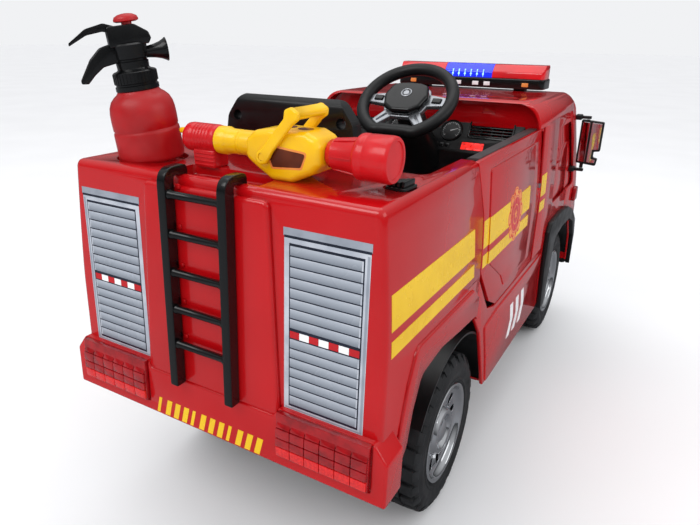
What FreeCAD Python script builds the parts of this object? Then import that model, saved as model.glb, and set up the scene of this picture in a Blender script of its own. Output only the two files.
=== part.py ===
import FreeCAD, Part
import math
import os
import re
import Sketcher

# Battery ride-on fire engine for one child: +X forward, +Y to the driver's left, +Z up, millimetres.
# The origin is on the ground, below the middle of the truck's overall box.

DIMENSIONS = {
    # overall body
    "wall": 4, "deck_height": 543, "deck_half": 224, "waist_height": 380, "waist_half": 236,
    "rear_face": -580, "quarter_front": -255, "deck_front": -412, "ledge_half": 200,
    "skirt_face": -590, "skirt_half": 250, "skirt_low": 205, "skirt_top": 272, "skirt_front": -546,
    "panel_proud": 8, "panel_half_top": 91, "panel_half_low": 106, "panel_top": 522,
    "bulkhead_low": 300,
    # trough and socket moulded into the rear deck
    "trough_rear": -570, "trough_front": -521, "trough_half": 68, "trough_depth": 12, "boss_depth": 20,
    "socket_x": -513, "socket_y": 147, "socket_radius": 47, "socket_depth": 10,
    # side sill, doors
    "sill_low": 138, "sill_top": 281, "sill_front": 212, "door_low": 283, "door_top": 541,
    "door_front": 104, "door_skin": 6, "hinge_x": 110, "hinge_y": 228, "hinge_pin_radius": 3,
    "hinge_low": 300, "hinge_high": 430, "trim_inner": 200, "trim_low": 305, "running_gap": 0.06,
    # front cab
    "cab_rear": 75, "post_rear": 116, "cab_top": 590, "brow_x": 405, "brow_z": 586, "screen_low_x": 527,
    "screen_low_z": 389, "nose_x": 552, "nose_z": 348, "chin_x": 588, "chin_z": 290, "front_face": 594,
    "cab_low": 140, "shoulder_drop": 46, "shoulder_run": 44, "bumper_face": 606, "bumper_low": 125,
    "bumper_high": 212, "bumper_half": 236, "lamp_half_in": 120, "lamp_half_out": 210,
    # wheels and running gear
    "tyre_radius": 125, "tread_half": 32, "shoulder_radius": 119, "tyre_half": 44, "rim_radius": 79.5,
    "rim_barrel": 5, "wheel_y": 184, "rear_axle_x": -304, "front_axle_x": 438, "axle_z": 125,
    "axle_radius": 6, "hub_radius": 15, "slot_ring": 55, "slot_radius": 6, "slot_length": 14,
    "kingpin_y": 134, "kingpin_radius": 5, "beam_low": 118, "steer_arm": 45,
    "pan_low": 138, "pan_high": 180, "pan_narrow": 88, "pan_wide": 222, "pan_rear": -500,
    "pan_wide_rear": -150, "pan_wide_front": 270, "pan_front": 545,
    # steering wheel and column
    "helm_x": -8, "helm_z": 586, "helm_tilt": 39.24, "helm_radius": 84, "helm_tube": 12,
    "column_radius": 6, "column_length": 588, "crank_length": 24,
    # seat
    "seat_rear": -384, "seat_front": -120, "seat_half": 132, "seat_top": 300, "seat_floor": 184,
    "back_half": 98, "back_top": 623,
    # mirrors
    "mirror_x": 458, "mirror_pin": 253, "mirror_inner": 246, "mirror_outer": 288,
    # light bar
    "bar_x": 370, "bar_half": 169, "bar_depth": 36, "bar_low": 591, "bar_split": 613, "bar_top": 642,
    "blue_half": 55,
    # ladder
    "rail_y": 44, "rail_width": 12, "ladder_rear": -606, "ladder_low": 272, "rung_radius": 4.7,
    "rung_low": 332, "rung_pitch": 48.25, "ladder_hook": 556,
    # extinguisher
    "bottle_z": 539.6, "bottle_radius": 43, "bottle_lean": 8, "nozzle_turn": -36.9,
    # water gun
    "gun_x": -515, "gun_z": 578, "gun_half": 26, "gun_handle_y": -57, "gun_handle_z": 571,
    "tip_radius": 4, "tip_rise": 6,
}

doc = FreeCAD.newDocument("ride_on_fire_engine")
sheet = doc.addObject("Spreadsheet::Sheet", "Dims")
NODES = {}


def fill_sheet():
    for row, (alias, value) in enumerate(DIMENSIONS.items(), start=1):
        sheet.set(f"A{row}", alias)
        sheet.set(f"B{row}", str(value))
        sheet.setAlias(f"B{row}", alias)
    doc.recompute()


def formula(text):
    """Turn a formula in plain dimension names into one that reads the sheet."""
    def name(match):
        word = match.group(0)
        return f"Dims.{word}" if word in DIMENSIONS else word
    return re.sub(r"[a-z_]+", name, str(text))


def place(obj, x=0, y=0, z=0, axis=(0, 0, 1), angle=0):
    obj.Placement = FreeCAD.Placement(FreeCAD.Vector(), FreeCAD.Rotation(FreeCAD.Vector(*axis), angle))
    for letter, text in zip("xyz", (x, y, z)):
        obj.setExpression(f"Placement.Base.{letter}", formula(text))
    return obj


def named(type_name, label):
    obj = doc.addObject(type_name, label)
    obj.Label = label
    return obj


def body(label):
    return named("PartDesign::Body", label)


def outline(owner, plane, points, offset="0"):
    """A closed straight-sided sketch on one of the body's origin planes, every corner driven."""
    support = [item for item in owner.Origin.OriginFeatures if item.Role == f"{plane}_Plane"][0]
    sketch = owner.newObject("Sketcher::SketchObject", f"{owner.Name}_outline")
    sketch.AttachmentSupport = [(support, "")]
    sketch.MapMode = "FlatFace"
    sketch.setExpression("AttachmentOffset.Base.z", formula(offset))
    count = len(points)
    turn = 2 * math.pi / count
    ring = [FreeCAD.Vector(math.cos(turn * i), math.sin(turn * i), 0) for i in range(count)]
    for i in range(count):
        sketch.addGeometry(Part.LineSegment(ring[i], ring[(i + 1) % count]))
    for i in range(count):
        sketch.addConstraint(Sketcher.Constraint("Coincident", i, 2, (i + 1) % count, 1))
    for i, corner in enumerate(points):
        for kind, text in zip(("DistanceX", "DistanceY"), corner):
            index = sketch.addConstraint(Sketcher.Constraint(kind, -1, 1, i, 1, 1.0))
            sketch.setExpression(f"Constraints[{index}]", formula(text))
    return sketch


def extrude(owner, feature_type, plane, points, low, high):
    """Pad or pocket a sketch from low to high along the world axis that the plane faces."""
    offset = f"-({high})" if plane == "XZ" else low
    feature = owner.newObject(feature_type, f"{owner.Name}_{feature_type[-3:].lower()}")
    feature.Profile = outline(owner, plane, points, offset)
    feature.setExpression("Length", formula(f"({high}) - ({low})"))
    feature.Reversed = feature_type.endswith("Pocket")
    return feature


def pad(owner, plane, points, low, high):
    return extrude(owner, "PartDesign::Pad", plane, points, low, high)


def pocket(owner, plane, points, low, high):
    doc.recompute()
    before = owner.Shape.Volume
    feature = extrude(owner, "PartDesign::Pocket", plane, points, low, high)
    doc.recompute()
    if owner.Shape.Volume >= before:
        raise ValueError(f"{owner.Label}: a pocket removed nothing")
    return feature


def prism(label, plane, points, low, high):
    owner = body(label)
    pad(owner, plane, points, low, high)
    return owner


def rectangle(x_low, x_high, y_low, y_high):
    return [(x_low, y_low), (x_high, y_low), (x_high, y_high), (x_low, y_high)]


def block(label, x_span, y_span, z_span):
    return prism(label, "XY", rectangle(*x_span, *y_span), *z_span)


def turned(label, plane, points):
    """A body of revolution about the sketch's upright axis: Z on the XZ plane, Y on the XY plane."""
    owner = body(label)
    feature = owner.newObject("PartDesign::Revolution", f"{label}_turn")
    sketch = outline(owner, plane, points)
    feature.Profile = sketch
    feature.ReferenceAxis = (sketch, ["V_Axis"])
    feature.Angle = 360
    return owner


def cylinder(label, radius, length, x=0, y=0, z=0, axis=(0, 0, 1), angle=0):
    obj = named("Part::Cylinder", label)
    obj.setExpression("Radius", formula(radius))
    obj.setExpression("Height", formula(length))
    return place(obj, x, y, z, axis, angle)


def along_x(label, radius, length, x, y, z):
    return cylinder(label, radius, length, x, y, z, (0, 1, 0), 90)


def along_y(label, radius, length, x, y, z):
    return cylinder(label, radius, length, x, y, z, (1, 0, 0), -90)


def fuse(label, *pieces):
    obj = named("Part::MultiFuse", label)
    obj.Shapes = list(pieces)
    return obj


def common(label, first, second):
    obj = named("Part::Common", label)
    obj.Base = first
    obj.Tool = second
    return obj


def cut(label, base, *tools):
    obj = named("Part::Cut", label)
    obj.Base = base
    obj.Tool = tools[0] if len(tools) == 1 else fuse(f"{label}_tools", *tools)
    return obj


def group(label, *pieces):
    obj = named("Part::Compound", label)
    obj.Links = list(pieces)
    return obj


def mirrored(label, source):
    obj = named("Part::Mirroring", label)
    obj.Source = source
    obj.Base = FreeCAD.Vector(0, 0, 0)
    obj.Normal = FreeCAD.Vector(0, 1, 0)
    return obj


def keep(obj):
    NODES[obj.Label] = obj
    return obj


def pair(builder, right_label, left_label):
    """Keep the right-hand piece and its mirror image on the left."""
    right = keep(builder(right_label))
    keep(mirrored(left_label, right))


# The moulded body ---------------------------------------------------------------------------------

def tapered_section(half_trim, low, top_trim="0"):
    """Cross-section of the truck's body: upright to the waist, then leaning in to the deck."""
    waist = f"waist_half - {half_trim}"
    deck = f"deck_half - {half_trim}"
    top = f"deck_height - {top_trim}"
    right = [(f"-({waist})", low), (f"-({waist})", "waist_height"), (f"-({deck})", top)]
    left = [(deck, top), (waist, "waist_height"), (waist, low)]
    return right + left


REAR_ARCH = [("-546", "150"), ("-541", "206"), ("-510", "236"), ("-499", "278"), ("-477", "318"),
             ("-410", "325"), ("-338", "317"), ("-264", "311"), ("-218", "262"), ("-185", "194"),
             ("-159", "132")]


def rear_body_shell():
    outer = prism("rear_outer", "YZ", tapered_section("0", "skirt_low"), "rear_face", "quarter_front")
    hollow = prism("rear_hollow", "YZ", tapered_section("wall", "skirt_low - 5", "wall"),
                   "rear_face + wall", "quarter_front + 1")
    shell = cut("rear_walls", outer, hollow)
    half_top, half_low = "panel_half_top", "panel_half_low"
    panel = prism("rear_panel", "YZ", [(f"-{half_low}", "skirt_top"), (half_low, "skirt_top"),
                                       (half_top, "panel_top"), (f"-{half_top}", "panel_top")],
                  "rear_face - panel_proud", "rear_face + 1")
    boss = block("trough_boss", ("rear_face + 2", "trough_front + wall"),
                 ("-trough_half - wall", "trough_half + wall"), ("deck_height - boss_depth", "deck_height - 1"))
    seat = cylinder("socket_boss", "socket_radius + wall", "boss_depth - 1", "socket_x", "socket_y",
                    "deck_height - boss_depth")
    low_half, top_half = "waist_half - 17", "deck_half - 24"
    bulkhead = prism("bulkhead", "YZ", [(f"-({low_half})", "bulkhead_low"), (low_half, "bulkhead_low"),
                                        (low_half, "deck_height - 30"), (top_half, "deck_height - 1"),
                                        (f"-({top_half})", "deck_height - 1"),
                                        (f"-({low_half})", "deck_height - 30")],
                     "deck_front - wall", "deck_front")
    solid = fuse("rear_solid", shell, panel, boss, seat, bulkhead)
    trough = block("trough", ("trough_rear", "trough_front"), ("-trough_half", "trough_half"),
                   ("deck_height - trough_depth", "deck_height + 5"))
    socket = cylinder("socket", "socket_radius", "socket_depth + 5", "socket_x", "socket_y",
                      "deck_height - socket_depth")
    cockpit = block("rear_cockpit", ("deck_front", "quarter_front + 5"), ("-ledge_half", "ledge_half"),
                    ("skirt_low", "deck_height + 5"))
    arch = prism("rear_arch", "XZ", REAR_ARCH, "-270", "270")
    side_keeper = block("rear_arch_core", ("-560", "-150"), ("-130", "130"), ("100", "340"))
    arch_cut = cut("rear_arch_cut", arch, side_keeper)
    door_edge = prism("rear_door_edge", "XZ", [("-284", "560"), ("-284", "543"), ("-255", "465"),
                                               ("-240", "465"), ("-240", "560")], "-260", "260")
    return keep(cut("rear_body_shell", solid, trough, socket, cockpit, arch_cut, door_edge))


def rear_skirt():
    band = block("skirt_band", ("skirt_face", "skirt_front"), ("-skirt_half", "skirt_half"),
                 ("skirt_low", "skirt_top"))
    hollow = block("skirt_hollow", ("skirt_face + wall", "skirt_front + 5"),
                   ("-skirt_half + wall", "skirt_half - wall"), ("skirt_low - 5", "skirt_top - wall"))
    seat = block("skirt_seat", ("rear_face", "skirt_front + 5"), ("-waist_half", "waist_half"),
                 ("skirt_low - 5", "skirt_top + 5"))
    arch = prism("skirt_arch", "XZ", REAR_ARCH, "-270", "270")
    return keep(cut("rear_skirt", band, hollow, seat, arch))


def sill(label):
    face = [("-159", "sill_low"), ("-185", "194"), ("-218", "262"), ("quarter_front + 1", "300"),
            ("quarter_front + 1", "364"), ("-188", "sill_top + 12"), ("-145", "sill_top"),
            ("sill_front", "sill_top"), ("sill_front", "231"), ("sill_front + 19", "sill_low")]
    return prism(label, "XZ", face, "-waist_half", "-waist_half + wall")


def cab_outline(trim):
    """Side outline of the cab, with every wall moved inwards by trim."""
    return [(f"cab_rear - {trim}", f"cab_low - {trim}"), (f"cab_rear - {trim}", f"cab_top - {trim}"),
            (f"brow_x - {trim}", f"brow_z - {trim}"), (f"screen_low_x - {trim}", "screen_low_z"),
            (f"nose_x - {trim}", "nose_z"), (f"chin_x - {trim}", "chin_z"), (f"front_face - {trim}", "250"),
            (f"front_face - {trim}", f"cab_low - {trim}")]


def cab_section(trim, low):
    """Cross-section of the cab: upright sides, rounded shoulders, flat top."""
    steps = [("0", "0"), ("0.1", "0.5"), ("0.35", "0.82"), ("1", "1")]
    waist = f"waist_half - {trim}"
    side = [(waist, low), (waist, "waist_height")]
    for run, rise in steps:
        across = f"waist_half - 8 - {trim} - shoulder_run * {run}"
        side.append((across, f"cab_top - {trim} - shoulder_drop * (1 - {rise})"))
    return side + [(f"-({across})", up) for across, up in reversed(side)]


FRONT_ARCH = [("272", "120"), ("282", "196"), ("298", "279"), ("374", "288"), ("470", "284"),
              ("530", "262"), ("572", "215"), ("587", "150"), ("588", "120")]


def front_cab_shell():
    outer = common("cab_outer", prism("cab_side", "XZ", cab_outline("0"), "-waist_half - 1", "waist_half + 1"),
                   prism("cab_front", "YZ", cab_section("0", "cab_low"), "cab_rear", "front_face"))
    hollow = common("cab_hollow",
                    prism("cab_side_in", "XZ", cab_outline("wall"), "-waist_half - 1", "waist_half + 1"),
                    prism("cab_front_in", "YZ", cab_section("wall", "cab_low - 10"), "cab_rear - 5", "front_face"))
    door_space = block("cab_door_space", ("cab_rear - 5", "post_rear"), ("-260", "260"),
                       ("cab_low - 5", "door_top + 3"))
    sill_space = block("cab_sill_space", ("cab_rear", "sill_front + 22"), ("-260", "260"),
                       ("cab_low - 5", "sill_top + 1"))
    arch = cut("cab_arch_cut", prism("cab_arch", "XZ", FRONT_ARCH, "-260", "260"),
               block("cab_arch_core", ("260", "592"), ("-110", "110"), ("100", "300")))
    return keep(cut("front_cab_shell", outer, hollow, door_space, sill_space, arch))


def windscreen():
    """Smoked panel let on to the sloping front between the brow and the nose."""
    points = [("brow_x + 8", "brow_z - 12"), ("brow_x + 11", "brow_z - 10"), ("screen_low_x", "screen_low_z + 6"),
              ("screen_low_x - 3", "screen_low_z + 4")]
    panel = prism("windscreen_band", "XZ", points, "-186", "186")
    shell = NODES["front_cab_shell"]
    return keep(cut("windscreen", panel, shell))


def headlamps():
    right = block("headlamp_right", ("front_face", "front_face + 8"), ("-lamp_half_out", "-lamp_half_in"),
                  ("bumper_high + 4", "chin_z - 8"))
    return keep(group("headlamps", right, mirrored("headlamp_left", right)))


def front_bumper():
    """Black moulding: bumper bar with a number-plate recess, and the slotted grille standing on it."""
    bar = block("bumper_bar", ("front_face", "bumper_face"), ("-bumper_half", "bumper_half"),
                ("bumper_low", "bumper_high"))
    inset = block("bumper_inset", ("front_face + wall + 4", "bumper_face + 1"), ("-70", "70"), ("150", "186"))
    grille = block("grille_frame", ("front_face", "front_face + 7"), ("-112", "112"), ("bumper_high - 1", "284"))
    slots = [block(f"grille_slot_{i}", ("front_face + 3", "front_face + 8"), ("-100", "100"),
                   (f"{222 + 14 * i}", f"{230 + 14 * i}")) for i in range(4)]
    return keep(cut("front_bumper", fuse("bumper_solid", bar, grille), inset, *slots))


def front_flare(label):
    outer = [("241", "130"), ("222", "231"), ("222", "312"), ("240", "330"), ("345", "332"), ("420", "326"),
             ("495", "304"), ("566", "262"), ("590", "215"), ("592", "130")]
    band = body(label)
    pad(band, "XZ", outer, "-waist_half - 10", "-waist_half - 0.2")
    pocket(band, "XZ", FRONT_ARCH, "-waist_half - 12", "-waist_half + 2")
    return band


def marker_lamps():
    right = block("marker_right", ("505", "540"), ("-waist_half - 9", "-waist_half - 0.2"), ("318", "353"))
    return keep(group("marker_lamps", right, mirrored("marker_left", right)))


def tail_lamps():
    face = [("skirt_face", "224"), ("skirt_face - 8", "227"), ("skirt_face - 8", "264"),
            ("rear_face - 7", "282"), ("rear_face", "282"), ("rear_face", "skirt_top"),
            ("skirt_face", "skirt_top")]
    right = prism("tail_lamp_right", "XZ", face, "-229", "-108")
    return keep(group("tail_lamps", right, mirrored("tail_lamp_left", right)))


# Doors --------------------------------------------------------------------------------------------

def door_section(outer_trim, inner_trim):
    """Cross-section of the right door's skin between two depths below the body's surface."""
    rise = "(deck_height - door_top) * (waist_half - deck_half) / (deck_height - waist_height)"
    outer, inner = f"{outer_trim}", f"{inner_trim}"
    return [(f"-(waist_half - {outer})", "door_low"), (f"-(waist_half - {outer})", "waist_height"),
            (f"-(deck_half + {rise} - {outer})", "door_top"), (f"-(deck_half + {rise} - {inner})", "door_top"),
            (f"-(waist_half - {inner})", "waist_height"), (f"-(waist_half - {inner})", "door_low")]


DOOR_REAR_WASTE = [("-310", "260"), ("-143", "260"), ("-143", "283"), ("-184", "303"), ("-251", "374"),
                   ("-250", "462"), ("-281", "541"), ("-281", "560"), ("-310", "560")]


def door(label):
    skin = prism(f"{label}_skin", "YZ", door_section("0", "door_skin"), "-285", "door_front")
    waste = prism(f"{label}_waste", "XZ", DOOR_REAR_WASTE, "-260", "-150")
    knuckles = []
    for index, low in enumerate(("hinge_low", "hinge_high - 30")):
        arm = block(f"{label}_arm_{index}", ("door_front - 12", "hinge_x"), ("-hinge_y - 2", "-hinge_y + 4"),
                    (low, f"{low} + 30"))
        barrel = cylinder(f"{label}_barrel_{index}", "hinge_pin_radius + 3", "30", "hinge_x", "-hinge_y", low)
        knuckles += [arm, barrel]
    plate = cut(f"{label}_plate", skin, waste)
    solid = fuse(f"{label}_solid", plate, *knuckles)
    bore = cylinder(f"{label}_bore", "hinge_pin_radius + running_gap", "hinge_high", "hinge_x", "-hinge_y", "200")
    return cut(label, solid, bore)


def door_trim(label):
    """Dark inner liner: a channel closed against the red skin."""
    top = "deck_half - door_skin + 0.1"
    section = [(f"-({top})", "door_top"), ("-trim_inner", "door_top"), ("-trim_inner", "trim_low"),
               ("-(waist_half - door_skin)", "trim_low"), ("-(waist_half - door_skin)", "trim_low + wall"),
               ("-(trim_inner + wall)", "trim_low + wall"), ("-(trim_inner + wall)", "door_top - wall"),
               (f"-({top} + 0.3)", "door_top - wall")]
    liner = prism(f"{label}_liner", "YZ", section, "-262", "door_front - 14")
    waste = prism(f"{label}_waste", "XZ", [("-310", "290"), ("-130", "290"), ("-172", "314"), ("-240", "386"),
                                           ("-238", "462"), ("-262", "530"), ("-262", "560"), ("-310", "560")],
                  "-260", "-150")
    return cut(label, liner, waste)


def door_hinge_pins():
    pin = cylinder("hinge_pin_right_rod", "hinge_pin_radius", "hinge_high - hinge_low + 16", "hinge_x",
                   "-hinge_y", "hinge_low - 8")
    lugs = []
    for index, low in enumerate(("hinge_low - 8", "hinge_high + 0.5")):
        barrel = cylinder(f"hinge_lug_barrel_{index}", "hinge_pin_radius + 3", "7.5", "hinge_x", "-hinge_y", low)
        arm = block(f"hinge_lug_arm_{index}", ("hinge_x", "post_rear + 12"), ("-hinge_y - 3", "-hinge_y + 3"),
                    (low, f"{low} + 7.5"))
        lugs += [barrel, arm]
    right = cut("hinge_pin_right", fuse("hinge_pin_right_solid", pin, *lugs), NODES["front_cab_shell"])
    return keep(group("door_hinge_pins", right, mirrored("hinge_pin_left", right)))


# Chassis, wheels and steering gear ------------------------------------------------------------------

def chassis_pan():
    outer_half, inner_half = ["pan_narrow", "pan_wide"], ["pan_narrow - wall", "pan_wide - wall"]

    def plan(halves, trim):
        narrow, wide = halves
        right = [(f"pan_rear + {trim}", f"-({narrow})"), (f"pan_wide_rear + {trim}", f"-({narrow})"),
                 (f"pan_wide_rear + {trim}", f"-({wide})"), (f"pan_wide_front - {trim}", f"-({wide})"),
                 (f"pan_wide_front - {trim}", f"-({narrow})"), (f"pan_front - {trim}", f"-({narrow})")]
        left = [(along, across[1:]) for along, across in reversed(right)]
        return right + left

    tray = body("pan_tray")
    pad(tray, "XY", plan(outer_half, "0"), "pan_low", "pan_high")
    pocket(tray, "XY", plan(inner_half, "wall"), "pan_low + wall", "pan_high + 5")
    pocket(tray, "XY", rectangle("300", "388", "-18", "18"), "pan_low - 5", "pan_low + wall + 5")
    blocks = []
    for index, across in enumerate(("-76", "56")):
        ear = block(f"axle_ear_{index}", ("rear_axle_x - 18", "rear_axle_x + 18"), (across, f"{across} + 20"),
                    ("axle_z - 16", "pan_low + 1"))
        blocks.append(ear)
    pedal_ears = [block(f"pedal_ear_{i}", ("228", "248"), (f"{across}", f"{across} + 6"),
                        ("pan_low + 1", "pan_low + 32")) for i, across in enumerate((-86, -34))]
    pedal_bore = along_y("pedal_pin_bore", "3.1", "70", "238", "-90", "pan_low + 22")
    axle_bore = along_y("pan_axle_bore", "axle_radius", "2 * pan_wide", "rear_axle_x", "-pan_wide", "axle_z")
    return keep(cut("chassis_pan", fuse("pan_solid", tray, *blocks, *pedal_ears), axle_bore, pedal_bore))


def rear_axle():
    return keep(along_y("rear_axle", "axle_radius", "2 * (wheel_y + 30)", "rear_axle_x", "-wheel_y - 30", "axle_z"))


def rear_gearboxes():
    case = block("gearbox_case", ("rear_axle_x - 34", "rear_axle_x + 40"), ("-136", "-92"),
                 ("axle_z - 30", "axle_z + 34"))
    motor = along_x("gearbox_motor", "18", "64", "rear_axle_x + 39", "-113", "axle_z + 14")
    bore = along_y("gearbox_bore", "axle_radius", "60", "rear_axle_x", "-140", "axle_z")
    right = cut("gearbox_right", fuse("gearbox_solid", case, motor), bore)
    return keep(group("rear_gearboxes", right, mirrored("gearbox_left", right)))


def tyre(label, axle_x):
    half, tread, shoulder = "tyre_half", "tread_half", "shoulder_radius"
    upper = [("rim_radius", f"{half} - 6"), ("rim_radius + 9", f"{half} - 1"), ("110", half),
             (shoulder, f"{half} - 3"), ("tyre_radius", tread)]
    lower = [(across, f"-({up})") for across, up in reversed(upper)]
    core_upper = [("rim_radius", f"{half} - 15"), ("100", f"{half} - 9"), (f"{shoulder} - 8", f"{half} - 11"),
                  ("tyre_radius - 9", f"{tread} - 8")]
    core_lower = [(across, f"-({up})") for across, up in reversed(core_upper)]
    profile = upper + lower + list(reversed(core_lower)) + list(reversed(core_upper))
    return place(turned(label, "XY", profile), axle_x, "-wheel_y", "axle_z")


def rim(label, axle_x):
    """Chromed moulding: barrel, dished face with a ring of slots, raised hub ring and axle bore."""
    bore = "axle_radius + running_gap"
    face = [(bore, "30"), (bore, "-30"), ("26", "-30"), ("28", "-38"), ("34", "-38"), ("38", "-31"),
            ("rim_radius - 9", "-35"), ("rim_radius - 5", "-tyre_half + 3"), ("rim_radius", "-tyre_half + 3"),
            ("rim_radius", "tyre_half - 8"), ("rim_radius - rim_barrel", "tyre_half - 8"),
            ("rim_radius - rim_barrel", "-29"), ("38", "-25"), ("hub_radius", "-22"), ("hub_radius", "30")]
    wheel = turned(label, "XY", face)
    slot = wheel.newObject("PartDesign::Pocket", f"{label}_slot")
    half_long, half_wide = "slot_length / 2", "slot_radius"
    slot.Profile = outline(wheel, "XZ", [(f"-{half_wide}", f"slot_ring - {half_long}"),
                                         (half_wide, f"slot_ring - {half_long}"),
                                         (half_wide, f"slot_ring + {half_long}"),
                                         (f"-{half_wide}", f"slot_ring + {half_long}")], "tyre_half")
    slot.setExpression("Length", formula("2 * tyre_half"))
    pattern = wheel.newObject("PartDesign::PolarPattern", f"{label}_slots")
    pattern.Originals = [slot]
    axis = [item for item in wheel.Origin.OriginFeatures if item.Role == "Y_Axis"][0]
    pattern.Axis = (axis, [""])
    pattern.Angle = 360
    pattern.Occurrences = 12
    wheel.Tip = pattern
    return place(wheel, axle_x, "-wheel_y", "axle_z")


def wheels():
    for end, axle_x in (("rear", "rear_axle_x"), ("front", "front_axle_x")):
        pair(lambda label: tyre(label, axle_x), f"tyre_{end}_right", f"tyre_{end}_left")
        pair(lambda label: rim(label, axle_x), f"rim_{end}_right", f"rim_{end}_left")


def front_beam():
    bar = block("beam_bar", ("front_axle_x - 12", "front_axle_x + 12"), ("-kingpin_y", "kingpin_y"),
                ("beam_low", "pan_low"))
    pieces = [cylinder(f"beam_eye_{sign}", "12", "pan_low - beam_low", "front_axle_x", f"{sign}kingpin_y",
                       "beam_low") for sign in ("-", "")]
    bores = [cylinder(f"beam_bore_{sign}", "kingpin_radius + running_gap", "60", "front_axle_x",
                      f"{sign}kingpin_y", "beam_low - 20") for sign in ("-", "")]
    pieces[0].Label, pieces[1].Label = "beam_eye_right", "beam_eye_left"
    bores[0].Label, bores[1].Label = "beam_bore_right", "beam_bore_left"
    return keep(cut("front_beam", fuse("beam_solid", bar, *pieces), *bores))


def knuckle(label):
    """Forked stub axle on its kingpin, with the steering arm pointing rearwards."""
    x_span = ("front_axle_x - 8", "front_axle_x + 8")
    pin = cylinder(f"{label}_kingpin", "kingpin_radius", "46", "front_axle_x", "-kingpin_y", "beam_low - 13")
    low_arm = block(f"{label}_low_arm", x_span, ("-kingpin_y - 20", "-kingpin_y + 8"),
                    ("beam_low - 11", "beam_low - 0.5"))
    high_arm = block(f"{label}_high_arm", x_span, ("-kingpin_y - 20", "-kingpin_y + 8"),
                     ("pan_low + 0.5", "pan_low + 10"))
    web = block(f"{label}_web", x_span, ("-kingpin_y - 20", "-kingpin_y - 13"), ("beam_low - 11", "pan_low + 10"))
    stub = along_y(f"{label}_stub", "axle_radius", "wheel_y + 30 - kingpin_y - 14", "front_axle_x",
                   "-wheel_y - 30", "axle_z")
    lever = block(f"{label}_lever", ("front_axle_x - steer_arm - 9", "front_axle_x"),
                  ("-kingpin_y - 7", "-kingpin_y + 7"), ("beam_low - 11", "beam_low - 3"))
    solid = fuse(f"{label}_solid", pin, low_arm, high_arm, web, stub, lever)
    eye = cylinder(f"{label}_eye", "5", "30", "front_axle_x - steer_arm", "-kingpin_y", "beam_low - 20")
    return cut(label, solid, eye)


def tie_rod():
    x_mid = "front_axle_x - steer_arm"
    bar = block("tie_bar", (f"{x_mid} - 6", f"{x_mid} + 6"), ("-kingpin_y - 4.5", "kingpin_y + 4.5"),
                ("beam_low - 20", "beam_low - 13"))
    pins = [cylinder(f"tie_pin_{index}", "3", "12", x_mid, across, "beam_low - 14")
            for index, across in enumerate(("-kingpin_y", "kingpin_y"))]
    tab = block("tie_tab", ("340", f"{x_mid} - 5"), ("-14", "14"), ("beam_low - 20", "beam_low - 15"))
    ears = [block(f"tie_ear_{index}", ("340", "366"), (across, f"{across} + 7"), ("beam_low - 16", "beam_low - 4"))
            for index, across in enumerate(("-13", "6"))]
    return keep(fuse("tie_rod", bar, *pins, tab, *ears))


def on_helm(obj, x=0, y=0, z=0):
    """Carry a piece drawn flat about the origin to the tilted steering wheel."""
    turn = FreeCAD.Rotation(FreeCAD.Vector(0, 1, 0), -DIMENSIONS["helm_tilt"])
    obj.Placement = FreeCAD.Placement(FreeCAD.Vector(), turn)
    shift = turn.multVec(FreeCAD.Vector(x, y, z))
    obj.setExpression("Placement.Base.x", formula(f"helm_x + {shift.x}"))
    obj.setExpression("Placement.Base.y", str(shift.y))
    obj.setExpression("Placement.Base.z", formula(f"helm_z + {shift.z}"))
    return obj


def steering_column():
    rod = on_helm(cylinder("column_rod", "column_radius", "column_length - 18"), 0, 0, -DIMENSIONS["column_length"])
    crank = on_helm(block("column_crank", ("-crank_length - 4", "4"), ("-5", "5"), ("0", "6")), 0, 0,
                    -DIMENSIONS["column_length"])
    pin = on_helm(cylinder("column_pin", "3", "12"), -DIMENSIONS["crank_length"], 0,
                  -DIMENSIONS["column_length"] - 10)
    return keep(fuse("steering_column", rod, crank, pin))


def steering_rim():
    ring = named("Part::Torus", "steering_rim")
    ring.setExpression("Radius1", formula("helm_radius"))
    ring.setExpression("Radius2", formula("helm_tube"))
    return keep(on_helm(ring))


def steering_spokes():
    inner = "helm_radius - helm_tube + 0.4"
    arms = [block("spoke_right", ("-6", "12"), (f"-({inner})", "-30"), ("-9", "1"))]
    arms.append(block("spoke_left", ("-6", "12"), ("30", inner), ("-9", "1")))
    for index, side in enumerate((-1, 1)):
        arm = block(f"spoke_low_{index}", ("-70.5", "-20"), ("-8", "8"), ("-9", "1"))
        arms.append(place(arm, 0, 0, 0, (0, 0, 1), 38 * side))
    plate = cylinder("spoke_plate", "36", "10", 0, 0, -9)
    solid = fuse("spoke_solid", *arms, plate)
    pockets = [block(f"spoke_pocket_{i}", ("-3", "9"), (low, f"{low} + 18"), ("-5", "2"))
               for i, low in enumerate(("-66", "48"))]
    return keep(on_helm(cut("steering_spokes", solid, *pockets)))


def steering_hub_pad():
    pad_body = turned("steering_hub_pad", "XZ", [("0", "1"), ("40", "1"), ("42", "5"), ("34", "13"), ("0", "16")])
    return keep(on_helm(pad_body))


def horn_buttons():
    for side, low in (("right", "-65.5"), ("left", "48.5")):
        keep(on_helm(block(f"horn_button_{side}", ("-2.5", "8.5"), (low, f"{low} + 17"), ("-2.5", "4"))))


# Cockpit ------------------------------------------------------------------------------------------

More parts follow.
